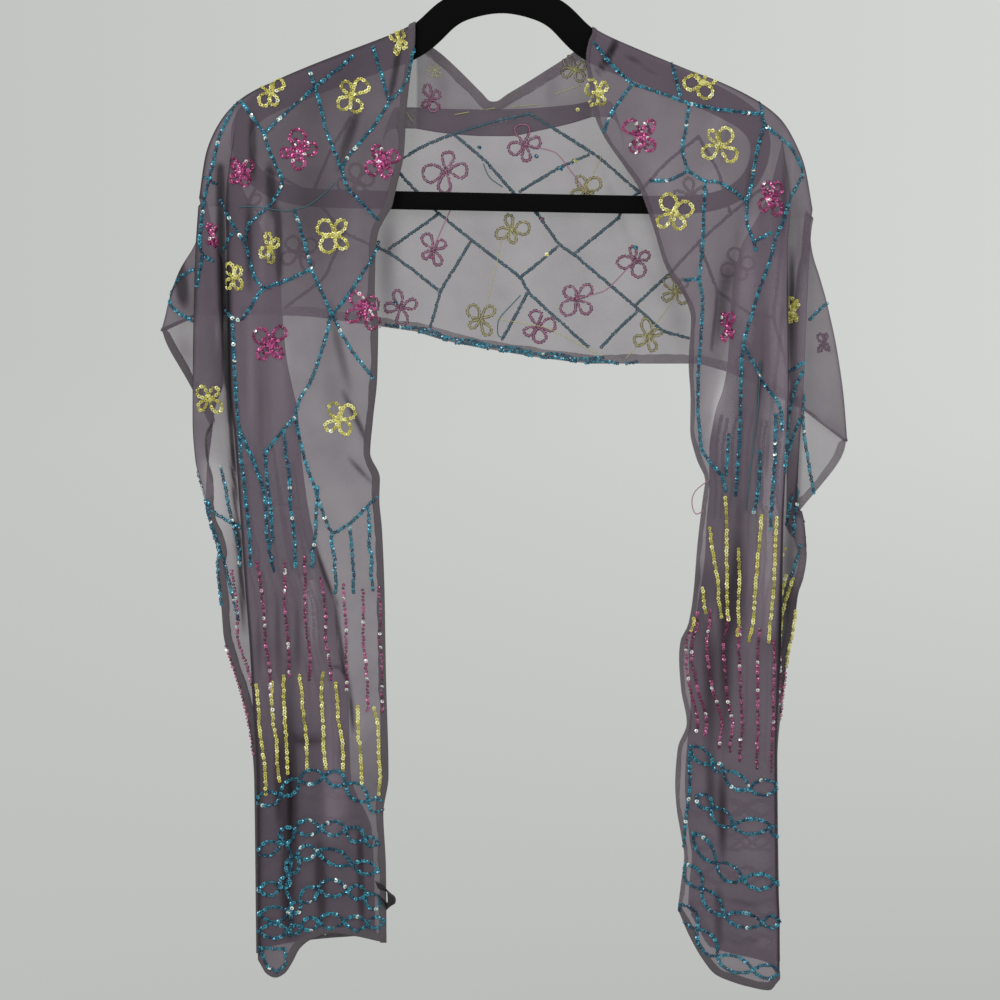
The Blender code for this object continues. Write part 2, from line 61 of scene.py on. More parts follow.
# %% Smooth lines through short tables
def between(t, start, leaving, end, arriving):
    """The smooth curve from start to end, at a share t, with how fast it leaves and arrives."""
    return ((1 + 2 * t) * (1 - t) ** 2 * start + t * (1 - t) ** 2 * leaving
            + t * t * (3 - 2 * t) * end + t * t * (t - 1) * arriving)


def run_of(line):
    """The distance of each point of a line from its first point, along the line."""
    return np.concatenate([[0], np.cumsum(np.linalg.norm(np.diff(line, axis=0), axis=1))])


def along(keys, values, at):
    """The smooth curve through values at rising keys, read at one place or many."""
    keys, values = np.asarray(keys, float), np.asarray(values, float)
    at = np.clip(np.asarray(at, float), keys[0], keys[-1])
    slope = np.diff(values) / np.diff(keys)
    tangent = np.empty(len(keys))
    tangent[0], tangent[-1] = slope[0], slope[-1]
    before, after = slope[:-1], slope[1:]
    same = before * after > 0
    tangent[1:-1] = np.where(same, 2 * before * after / np.where(same, before + after, 1), 0)
    cell = np.clip(np.searchsorted(keys, at, side="right") - 1, 0, len(keys) - 2)
    width = keys[cell + 1] - keys[cell]
    t = (at - keys[cell]) / width
    return between(t, values[cell], width * tangent[cell], values[cell + 1], width * tangent[cell + 1])


def line_at(pairs, at):
    """Reads a line given as (distance down, value) pairs."""
    return along(*zip(*pairs), at)


def soft_step(low, high, at):
    """0 up to low, 1 from high on, and smooth between them."""
    t = np.clip((np.asarray(at, float) - low) / (high - low), 0, 1)
    return t * t * (3 - 2 * t)


# %% [markdown]
# ## The hanger
#
# A flat flocked hanger is moulded in one piece: an arch, two sloping arms with rounded tips and a
# bar between the tips. Its band is one closed line whose width changes, swept with a section
# that has rounded corners. It hangs a little low on its right.

# %% The band of the hanger
# Each row, from the peak of the arch round to the middle of the bar: x, z and half width
BAND = [
    (0, -72.5, 10), (22, -77.2, 10.8), (44, -83.5, 11.4), (56, -102.5, 11.2), (75, -113.2, 12.4),
    (100, -122.5, 11.5), (147, -141, 11), (193, -163.5, 10), (204, -176.5, 8), (202, -193, 7),
    (196, -211, 7), (176, -226, 7), (150, -231, 7), (75, -231.5, 7), (0, -231.5, 7),
]
HANGER_TILT, HANGER_HALF, HANGER_STEPS = math.radians(1.1), 2.5, 120
BAND_EASINGS, BAND_SIDES, BAND_ROUND, FACES_UP = 24, 20, 1.6, 0.05


def tilted(x, z):
    """A point of the level hanger, turned with the hanger about the hook."""
    c, s = math.cos(HANGER_TILT), math.sin(HANGER_TILT)
    return x * c + z * s, z * c - x * s


def band_loop():
    """The closed middle line, the way out of it at each point, and its half width."""
    rows = np.array(BAND, float)
    run = run_of(rows[:, :2])
    at = np.linspace(0, run[-1], HANGER_STEPS + 1)
    half = np.stack([along(run, rows[:, k], at) for k in range(3)], axis=1)
    loop = np.concatenate([half[:-1], half[:0:-1] * (-1, 1, 1)])
    for _ in range(BAND_EASINGS):
        loop = (np.roll(loop, 1, 0) + 2 * loop + np.roll(loop, -1, 0)) / 4
    way = np.roll(loop, -1, 0)[:, :2] - np.roll(loop, 1, 0)[:, :2]
    way /= np.linalg.norm(way, axis=1)[:, None]
    return loop[:, :2], np.stack([-way[:, 1], way[:, 0]], axis=1), loop[:, 2]


band, band_out, band_half = band_loop()
upper = band_out[:, 1] > FACES_UP
arm_top = np.array(sorted(tilted(*p) for p in (band + band_out * band_half[:, None])[upper]))


def arm_height(x):
    """The top of the arm at x, or None past its tip."""
    return float(np.interp(x, *arm_top.T)) if arm_top[0, 0] < x < arm_top[-1, 0] else None


def placed(name, data):
    """Puts a mesh, a lamp or a camera into the scene as an object."""
    made = bpy.data.objects.new(name, data)
    bpy.context.scene.collection.objects.link(made)
    return made


def swept(name, rings, closed):
    """A mesh object from rings of points, in millimetres, joined end to end or capped."""
    rings = np.asarray(rings)
    count, sides = rings.shape[:2]
    faces = [
        (i * sides + k, i * sides + (k + 1) % sides, (i + 1) % count * sides + (k + 1) % sides,
         (i + 1) % count * sides + k)
        for i in range(count if closed else count - 1) for k in range(sides)
    ]
    if not closed:
        faces += [tuple(range(sides))[::-1], tuple((count - 1) * sides + k for k in range(sides))]
    mesh = bpy.data.meshes.new(name)
    mesh.from_pydata((rings.reshape(-1, 3) * MM).tolist(), [], faces)
    outward(mesh)
    mesh.shade_smooth()
    return placed(name, mesh)


def outward(mesh):
    """Turns every face of a closed mesh to point outwards."""
    shape = bmesh.new()
    shape.from_mesh(mesh)
    bmesh.ops.recalc_face_normals(shape, faces=shape.faces)
    shape.to_mesh(mesh)
    shape.free()


rings = []
for middle, out, half in zip(band, band_out, band_half):
    ring = []
    for a in math.tau * (np.arange(BAND_SIDES) + 0.5) / BAND_SIDES:
        c, d = math.cos(a), math.sin(a)
        aside = (half - BAND_ROUND) * math.copysign(1, c) + BAND_ROUND * c
        deep = (HANGER_HALF - BAND_ROUND) * math.copysign(1, d) + BAND_ROUND * d
        x, z = tilted(*(middle + out * aside))
        ring.append((x, deep, z))
    rings.append(ring)
hanger = swept("flocked_hanger", rings, True)
print("hanger:", len(hanger.data.polygons), "faces")

# %% The hook
# A plated wire: up from a turned collar, out to the right, round the rail and over to its tip
WIRE, BEND, BEND_Z, BEND_FROM, WIRE_SIDES = 1.8, 22.8, -21, -0.96, 20
# Each row of the collar: how far above the arch, and its radius. The wire narrows to a tip
COLLAR = [(0.05, 4.6), (0.4, 5), (3.6, 5), (4.2, 4.4), (4.6, WIRE)]
TIP_RADII = [1.6, 1.1, 0.4]
# How hard the rising wire is drawn out of the collar and into the bend
RISE_FROM, RISE_LEAVES, RISE_ARRIVES = 7, np.array([0, 26]), 24 * np.array([0.82, 0.57])
foot_x, foot_z = tilted(0, -65)[0], arm_height(0)
start = np.array([foot_x, foot_z + RISE_FROM])
end = np.array([BEND * math.cos(BEND_FROM), BEND_Z + BEND * math.sin(BEND_FROM)])
rise = between(np.linspace(0, 1, 14)[:, None], start, RISE_LEAVES, end, RISE_ARRIVES)
turn = np.radians(np.linspace(-55, 195, 60))[1:]
arc = np.stack([BEND * np.cos(turn), BEND_Z + BEND * np.sin(turn)], axis=1)
collar = np.array([[foot_x, foot_z + above] for above, _ in COLLAR])
route = np.concatenate([collar, rise, arc])
plain_wire = [WIRE] * (len(route) - len(COLLAR) - len(TIP_RADII))
radii = np.array([radius for _, radius in COLLAR] + plain_wire + TIP_RADII)
rings = []
for i, (x, z) in enumerate(route):
    way = route[min(i + 1, len(route) - 1)] - route[max(i - 1, 0)]
    way = way / np.linalg.norm(way) if i >= len(COLLAR) else np.array([0.0, 1.0])
    rings.append([
        (x + way[1] * radii[i] * math.cos(a), radii[i] * math.sin(a), z - way[0] * radii[i] * math.cos(a))
        for a in math.tau * np.arange(WIRE_SIDES) / WIRE_SIDES
    ])
hook = swept("plated_hook", rings, False)
print("hook:", len(hook.data.polygons), "faces")

# %% [markdown]
# Each side of the scarf has five lines, read downwards from the hook: the inner hem, the ridge
# that the front layer folds round, the tuck that the hidden layer turns at, the outer edge, and
# the lip, where the outer edge turns back behind itself. `belly` is how far the pleat stands
# forward. The end lines give the lowest edge of each layer by its share of the layer's width.

# %% The lines of the left side
LEFT = {
    "way": -1,
    "inner": [(236, -87.3), (245, -92.8), (257, -98.2), (275, -100), (303, -100.5), (326, -97.8),
              (366, -98.5), (402, -102),
              (426, -104), (445, -96.5), (461, -97), (484, -95), (533, -93), (594, -92),
              (675, -90), (705, -94), (748, -92), (807, -91.6)],
    "ridge": [(236, -215), (270, -214), (331, -213), (371, -212.5), (408, -208), (462, -204),
              (531, -199.4), (577, -196), (616, -194), (675, -191), (807, -190)],
    "tuck": [(236, -196), (270, -180), (293, -173), (318, -171.5), (350, -168.6), (376, -163.5),
             (390, -160.3), (427, -157), (459, -153), (477, -150), (506, -143), (531, -134.5),
             (548, -130), (573, -129), (591, -124), (613, -121), (631, -120.5), (675, -119),
             (690, -115), (705, -108), (720, -103), (760, -101), (807, -100)],
    "outer": [(236, -237), (270, -239), (331, -240.5), (400, -241), (431, -239), (454, -233),
              (489, -225), (503, -220.5), (512, -222), (525, -221), (548, -218.5), (567, -217),
              (579, -214), (595, -208.5), (611, -203.5), (642, -196.5), (654, -195), (678, -193.5),
              (807, -192)],
    "lip": [(236, -236.8), (258, -225), (285, -217.5), (372, -217.5), (388, -223), (408, -226),
            (462, -231), (500, -221)],
    "belly": [(236, 0), (270, 4), (331, 9), (371, 10), (408, 9), (462, 7), (500, 5), (531, 4),
              (578, 3), (616, 2), (740, 1), (807, 0)],
    "lip_end": 408,
    "opens": 500,
    "bottom": 807,
    "front_end": [(0, 803), (0.09, 801), (0.24, 797.5), (0.44, 795), (0.60, 800), (0.69, 807),
                  (0.745, 817), (0.81, 826), (0.88, 829), (0.95, 826), (1, 818)],
    "middle_end": [(0, 812), (0.12, 801), (0.35, 796), (1, 797)],
    "outer_end": [(0, 797), (0.5, 801), (0.85, 806), (1, 812)],
    "top": [(-69.6, -96), (-85, -103), (-102, -111), (-151, -129), (-179, -138), (-204, -151),
            (-222, -171), (-232, -195), (-237, -228)],
    "lapel": [(96, -69.6), (103, -69.6), (139, -74), (166, -76.7), (194, -78.2), (221, -84), (236, -87.3)],
    "creased": (205, 240),
    "reach": (0.64, 0.652, 0.685, 0.695),
    "back_x": [(0, -69.6), (0.3, -112), (0.58, -160), (0.64, -171), (0.85, -212), (1, -239)],
    "back_z": [(0, -331), (0.3, -325), (0.58, -319), (0.85, -318), (1, -319)],
    "tip": 2.3, "sag": -1.5,
    "corner": [(0, -237, -229.8), (0.3, -238.7, -258), (0.55, -253, -285.5), (0.75, -260, -305),
               (0.93, -264, -322), (1, -266.5, -331)],
}

# %% The lines of the right side
RIGHT = {
    "way": 1,
    "inner": [(245, 112), (257, 115.8), (279.5, 122.4), (289, 127), (304, 137), (323, 143), (356, 141),
              (385, 142.5), (409, 142.2), (426, 145.8), (435, 149), (442, 152.8), (447, 154),
              (455, 152.8), (470, 151), (497, 148), (534, 145), (558, 141), (571, 135), (583, 134),
              (607, 135.5), (634, 140), (653, 133), (682, 131), (700, 132), (726, 136), (741, 138),
              (763, 135.5), (783, 133)],
    "ridge": [(245, 219), (270, 217), (408, 217), (454, 214), (570, 212), (660, 208.7),
              (719, 209.4), (748, 211), (783, 211)],
    "tuck": [(245, 194), (269.5, 181), (308, 174), (358, 171), (379, 167), (391, 162.5),
             (403, 160), (425, 157), (452, 157), (480, 155), (504, 154), (540, 149), (583, 141.5),
             (620, 143), (655, 140), (682, 138.5), (700, 139.5), (726, 142), (741, 144),
             (763, 142), (783, 141)],
    "outer": [(245, 238), (254, 236.4), (308, 233), (377, 230), (430, 226.5), (465, 225),
              (474, 230), (504, 232.5), (522, 230), (534, 226), (558, 223), (583, 218),
              (616, 214), (660, 210), (783, 212)],
    "lip": [(245, 237.8), (290, 225), (340, 221.5), (392, 219), (440, 217), (482, 217),
            (500, 232)],
    "belly": [(245, 0), (280, 5), (308, 8), (341, 10), (370, 10), (416, 9), (452, 9), (474, 5),
              (504, 4), (534, 3), (583, 2), (719, 1), (783, 0)],
    "lip_end": 482,
    "opens": 500,
    "bottom": 783,
    "front_end": [(0, 777), (0.114, 797), (0.247, 815), (0.38, 827), (0.53, 832), (0.71, 836),
                  (0.92, 838.5), (1, 832)],
    "middle_end": [(0, 828), (0.1, 818), (0.45, 812), (0.76, 806), (0.9, 790), (1, 778)],
    "outer_end": [(0, 776), (0.1, 788), (0.24, 805), (0.5, 811), (1, 818)],
    "top": [(67.6, -96), (85, -109), (112, -117), (142, -129), (168, -139), (197, -154),
            (214, -168), (224, -184), (232, -204), (238, -237)],
    "lapel": [(96, 67.6), (121, 62.5), (139, 64.9), (163, 68.5), (179, 74.9), (205, 92.2), (221, 103.1),
              (239, 110), (245, 112)],
    "creased": (275, 305),
    "reach": (0.68, 0.69, 0.715, 0.725),
    "back_x": [(0, 67.6), (0.3, 118), (0.45, 145), (0.6, 168), (0.73, 190), (0.87, 212),
               (1, 230)],
    "back_z": [(0, -356), (0.45, -356), (0.6, -361), (0.73, -370), (0.87, -382), (1, -391)],
    "tip": 4, "sag": 4,
    "corner": [(0, 238, -239.2), (0.2, 240, -272), (0.42, 249, -308), (0.63, 257, -345),
               (0.82, 262.4, -383), (1, 265, -416.5)],
}

# %% [markdown]
# A row runs from the inner hem over the front layer, round the ridge, back along the middle
# layer, round the tuck, out along the outer layer and round the lip. The counts say how finely
# each stretch is drawn: folds turn on a radius of a millimetre or two, so they need points close
# together, and the flat layers need one every few millimetres to carry creases.

# %% A row across one side
FRONT_POINTS, MIDDLE_POINTS, OUTER_POINTS, LIP_POINTS = 76, 20, 28, 5
FOLD_POINTS = 8
FOLD_RADIUS = 1.7
EDGE_RADIUS = 1.2
INNER_DEPTH, RIDGE_DEPTH, TUCK_DEPTH, OUTER_DEPTH = -11.5, -15.0, -8.5, -6.0
END_FROM = 640.0
LAYERS = {}
shares = []
for name, count in (("front", FRONT_POINTS), ("ridge", FOLD_POINTS), ("middle", MIDDLE_POINTS),
                    ("tuck", FOLD_POINTS), ("outer", OUTER_POINTS), ("edge", FOLD_POINTS),
                    ("lip", LIP_POINTS)):
    begin = len(shares)
    shares += [(name, k / count) for k in range(count)]
    LAYERS[name] = (begin, count)
shares.append(("lip", 1.0))
COLUMNS = len(shares)
SHOULDER_COLUMNS = LAYERS["edge"][0] + 1
print(COLUMNS, "columns,", SHOULDER_COLUMNS, "of them over the arm")


def row_of(side, down):
    """The points of one row, at a distance down from the hook."""
    way = side["way"]
    inner, ridge, tuck, outer, belly = (
        float(line_at(side[key], down)) for key in ("inner", "ridge", "tuck", "outer", "belly")
    )
    lip = float(line_at(side["lip"], down)) if down < side["opens"] else outer
    width = max((outer - lip) * way, 0.0)
    r = FOLD_RADIUS
    edge_r = min(EDGE_RADIUS, width / 2)
    inner_y = INNER_DEPTH - belly / 2
    ridge_y = RIDGE_DEPTH - belly
    tuck_y = TUCK_DEPTH - belly / 2
    outer_y = OUTER_DEPTH - belly / 3
    sink = float(soft_step(END_FROM, side["bottom"], down))
    row = []
    for name, share in shares:
        turn = math.pi * (share - 0.5)
        if name == "front":
            x = inner + (ridge - way * r - inner) * share
            y = inner_y + (ridge_y - r - inner_y) * share
            low = line_at(side["front_end"], share)
        elif name == "ridge":
            x = ridge - way * r + way * r * math.cos(turn)
            y = ridge_y + r * math.sin(turn)
            low = side["front_end"][-1][1] * (1 - share) + side["middle_end"][0][1] * share
        elif name == "middle":
            x = ridge - way * r + (tuck + way * r - ridge + way * r) * share
            y = ridge_y + r + (tuck_y - r - ridge_y - r) * share
            low = line_at(side["middle_end"], share)
        elif name == "tuck":
            x = tuck + way * r - way * r * math.cos(turn)
            y = tuck_y + r * math.sin(turn)
            low = side["middle_end"][-1][1] * (1 - share) + side["outer_end"][0][1] * share
        elif name == "outer":
            x = tuck + way * r + (outer - way * edge_r - tuck - way * r) * share
            y = tuck_y + r + (outer_y - edge_r - tuck_y - r) * share
            low = line_at(side["outer_end"], share)
        elif name == "edge":
            x = outer - way * edge_r + way * edge_r * math.cos(turn)
            y = outer_y + edge_r * math.sin(turn)
            low = side["outer_end"][-1][1]
        else:
            x = outer - way * edge_r + (lip - outer + way * edge_r) * share
            y = outer_y + edge_r
            low = side["outer_end"][-1][1]
        row.append((x, y, -(down + (float(low) - side["bottom"]) * sink)))
    return row


# %% [markdown]
# The rows go down from the level of the hanger's bar, which the pattern calls the yoke. Above it
# each column runs up the front of the arm, over it on the saddle radius, and down behind to the
# lower hem. The pleat opens out on the way up, because its folded columns spread along the arm.

# %% Rows from the yoke to the end
TURN_ROWS = 48
ROW_STEP = 3.8


def levels(side):
    """Distances down of every row: an even run to the foot of the lip, then on to the end."""
    yoke = side["inner"][0][0]
    upper = np.linspace(yoke, side["lip_end"], TURN_ROWS + 1)
    count = math.ceil((side["bottom"] - side["lip_end"]) / ROW_STEP)
    return np.concatenate([upper, np.linspace(side["lip_end"], side["bottom"], count + 1)[1:]])


for side in (LEFT, RIGHT):
    side["fall"] = np.array([row_of(side, down) for down in levels(side)])
    print("fall rows and columns:", side["fall"].shape[:2])

# %% The neck, where the back of the scarf folds twice behind the wearer's collar line
NECK = {
    "x": (-69.6, -52, -36, -18, -11, -8, 2, 25, 52, 67.6),
    "hem": (-101.6, -113, -127.5, -145.5, -152, -152, -146, -132, -114.5, -101.6),
    "roll": (-157, -158, -158.5, -158.8, -159, -159, -158.5, -157.5, -155, -152),
    "tuck": (-173, -176, -178, -179, -179, -179, -179, -175, -169, -164),
    "lower": (-331, -336.5, -340.5, -344, -345, -345.5, -347.3, -351, -354.5, -356),
}
BACK_DEPTH = 5.6
SADDLE_RADIUS = 5.6
FLAP_ROWS, RISER_ROWS, NECK_FOLD_ROWS = 14, 3, 5
SADDLE_ROWS, FRONT_LEG_ROWS = 11, 24


def folded_leg(x, top_y, hem_z, roll_z, tuck_z, lower_x, lower_z):
    """Down the back at the neck: flap, turn, riser, turn and the main layer, in TURN_ROWS steps."""
    r = FOLD_RADIUS
    rise_y = BACK_DEPTH + 2 * r
    flap_y = rise_y + 2 * r
    points = []
    for k in range(FLAP_ROWS):
        share = k / FLAP_ROWS
        drift = soft_step(0, 0.5, share)
        points.append((x, top_y + (flap_y - top_y) * drift, hem_z + (tuck_z + r - hem_z) * share))
    for k in range(NECK_FOLD_ROWS):
        turn = math.pi * (0.5 - k / NECK_FOLD_ROWS)
        points.append((x, rise_y + r + r * math.sin(turn), tuck_z + r - r * math.cos(turn)))
    for k in range(RISER_ROWS):
        share = k / RISER_ROWS
        points.append((x, rise_y, tuck_z + r + (roll_z - tuck_z - 2 * r) * share))
    for k in range(NECK_FOLD_ROWS):
        turn = math.pi * (0.5 - k / NECK_FOLD_ROWS)
        points.append((x, BACK_DEPTH + r + r * math.sin(turn), roll_z - r + r * math.cos(turn)))
    left = TURN_ROWS - len(points)
    for k in range(left + 1):
        share = k / left
        points.append((x + (lower_x - x) * share, BACK_DEPTH,
                       roll_z - r + (lower_z - roll_z + r) * share))
    return np.array(points)


# %% Over the arms and down behind
FOLD_HOLDS, FOLD_DIES, CLEARANCE = 0.07, 0.2, 1.25
SLOPE_SPAN, STEEP_FROM, LEG_PULL = 6, 0.75, 0.8
LAPEL_SPREAD, LAPEL_EASE = 0.4, 1.6


def reach_of(side, name, share):
    """How far along the arm a column crosses it, from the neck, 0, to the turned corner, 1."""
    ridge, middle, tuck, outer = side["reach"]
    start, end = {
        "front": (0, ridge), "ridge": (ridge, middle), "middle": (middle, tuck),
        "tuck": (tuck, outer), "outer": (outer, 1), "edge": (1, 1),
    }[name]
    return start + (end - start) * share


def shoulder_of(side):
    """Rows by columns: up the front leg, over the saddle, and down the back leg."""
    top = np.array(side["top"], float)
    run = run_of(top)
    columns = []
    first_leg = None
    for j in range(SHOULDER_COLUMNS):
        reach = reach_of(side, *shares[j])
        here, before, after = (
            np.array([along(run, top[:, 0], s), along(run, top[:, 1], s)])
            for s in (reach * run[-1], max(reach * run[-1] - SLOPE_SPAN, 0),
                      min(reach * run[-1] + SLOPE_SPAN, run[-1]))
        )
        slope = (after - before) / np.linalg.norm(after - before)
        steep = max(0.0, (abs(slope[1]) - STEEP_FROM) / (1 - STEEP_FROM))
        inward = np.array([-side["way"] * steep, 0, -math.sqrt(1 - steep * steep)])
        arm = arm_height(here[0])
        apex = np.array([here[0], 0, here[1] if arm is None else max(here[1], arm + CLEARANCE)])
        saddle = [
            apex + inward * SADDLE_RADIUS * (1 - math.cos(a)) + np.array([0, SADDLE_RADIUS * math.sin(a), 0])
            for a in np.pi * (np.arange(SADDLE_ROWS) / (SADDLE_ROWS - 1) - 0.5)
        ]
        foot, below = side["fall"][0][j], side["fall"][2][j]
        down = (below - foot) / np.linalg.norm(below - foot)
        length = np.linalg.norm(foot - saddle[0])
        t = np.arange(FRONT_LEG_ROWS)[:, None] / FRONT_LEG_ROWS
        leg = between(t, foot, -down * length, saddle[0], -inward * length * LEG_PULL)
        # The inner edge is moved to where the lapel hangs, and its neighbours go along a little
        if j == 0:
            first_leg = leg[::-1].copy()
        if shares[j][0] == "front":
            ease = max(0.0, 1 - shares[j][1] / LAPEL_SPREAD) ** LAPEL_EASE
            here_x = np.interp(leg[:, 2], first_leg[::-1, 2], first_leg[::-1, 0])
            leg[:, 0] += ease * (line_at(side["lapel"], -leg[:, 2]) - here_x)
        lower = np.array([line_at(side["back_x"], reach), BACK_DEPTH, line_at(side["back_z"], reach)])
        rows = np.arange(TURN_ROWS + 1)[:, None] / TURN_ROWS
        plain = saddle[-1] + (lower - saddle[-1]) * rows
        fold = 1 - soft_step(FOLD_HOLDS, FOLD_DIES, reach)
        if fold > 0:
            end = 0 if side["way"] < 0 else -1
            full = folded_leg(here[0], BACK_DEPTH, saddle[-1][2], NECK["roll"][end], NECK["tuck"][end],
                              lower[0], lower[2])
            plain = plain * (1 - fold) + full * fold
        columns.append(np.concatenate([leg, saddle[:-1], plain]))
    return np.array(columns).transpose(1, 0, 2)


for side in (LEFT, RIGHT):
    side["shoulder"] = shoulder_of(side)
    print("shoulder rows and columns:", side["shoulder"].shape[:2])

# %% [markdown]
# The turned corner hangs out past the arm's tip like a gusset: it starts as a point at the top,
# where the cloth leaves the arm sideways, and opens downwards to its hem. Its first row is the
# shoulder's last column, its front edge is the lip and its back edge is the shoulder's back leg,
# so it closes the sheet with no gap.

# %% The turned corners
CORNER_DEPTH, CORNER_BACK_POINTS = -2.4, 7
# The corner is fully open, and its front edge has gone back, by these shares of the way
CORNER_OPEN_BY, CORNER_BACK_BY, CORNER_FLATTENS = 0.3, 0.35, 0.6


def corner_of(side):
    """Rows by points: out from the lip, round the free edge, and in to the shoulder's back leg."""
    way = side["way"]
    first = side["shoulder"][:, -1]
    turned = FRONT_LEG_ROWS + SADDLE_ROWS
    grid = [np.concatenate([first[:turned], np.repeat(first[turned - 1:turned], CORNER_BACK_POINTS, 0)])]
    keys = [c[0] for c in side["corner"]]
    radius = (BACK_DEPTH - CORNER_DEPTH) / 2
    for i in range(1, TURN_ROWS + 1):
        root = side["fall"][i][-1]
        back = first[turned - 1 + i]
        t = i / TURN_ROWS
        turn_x = radius * (1 - CORNER_FLATTENS * t ** 4)
        side_x, side_z = (float(along(keys, [c[k] for c in side["corner"]], t)) for k in (1, 2))
        end = np.array([side_x - way * turn_x, CORNER_DEPTH, side_z])
        row = []
        opened = float(soft_step(0, CORNER_OPEN_BY, t))
        for k in range(FRONT_LEG_ROWS):
            s = k / FRONT_LEG_ROWS
            p = root + (end - root) * s
            p[1] = root[1] + (CORNER_DEPTH - root[1]) * soft_step(0, CORNER_BACK_BY, s)
            p[2] -= side["sag"] * math.sin(math.pi * s) * t
            p[0] += way * side["tip"] * t ** 4 * math.sin(math.pi * s ** 3)
            row.append(p)
        for k in range(SADDLE_ROWS):
            a = math.pi * (k / (SADDLE_ROWS - 1) - 0.5)
            row.append(np.array([side_x + way * turn_x * (math.cos(a) - 1),
                                 CORNER_DEPTH + radius + radius * math.sin(a), side_z]))
        for k in range(1, CORNER_BACK_POINTS + 1):
            row.append(row[turned - 1] + (back - row[turned - 1]) * k / CORNER_BACK_POINTS)
        row = np.array(row)
        if opened < 1:
            across = np.linspace(0, 1, len(row))[1:-1, None]
            row[1:-1] = grid[0][1:-1] + (row[1:-1] - grid[0][1:-1]) * opened + (
                (root - grid[0][0]) * (1 - across) + (back - grid[0][-1]) * across
            ) * (1 - opened)
        grid.append(row)
    return np.array(grid)


for side in (LEFT, RIGHT):
    side["corner_grid"] = corner_of(side)
    print("corner rows and points:", side["corner_grid"].shape[:2])

# %% The back of the neck, between the shoulders
NECK_COLUMNS, NECK_EASE = 73, 16


def neck_grid():
    """Rows by columns from shoulder to shoulder, each column folded down the back of the neck."""
    columns = []
    for x in np.linspace(NECK["x"][0], NECK["x"][-1], NECK_COLUMNS):
        hem, roll, tuck, lower = (
            float(along(NECK["x"], NECK[line], x)) for line in ("hem", "roll", "tuck", "lower")
        )
        away = min(x - NECK["x"][0], NECK["x"][-1] - x)
        top_y = BACK_DEPTH + 4 * FOLD_RADIUS * float(soft_step(0, NECK_EASE, away))
        columns.append(folded_leg(x, top_y, hem, roll, tuck, x, lower))
    return np.array(columns).transpose(1, 0, 2)


neck = neck_grid()
neck[:, 0] = LEFT["shoulder"][-TURN_ROWS - 1:, 0]
neck[:, -1] = RIGHT["shoulder"][-TURN_ROWS - 1:, 0]
print("neck rows and columns:", neck.shape[:2])
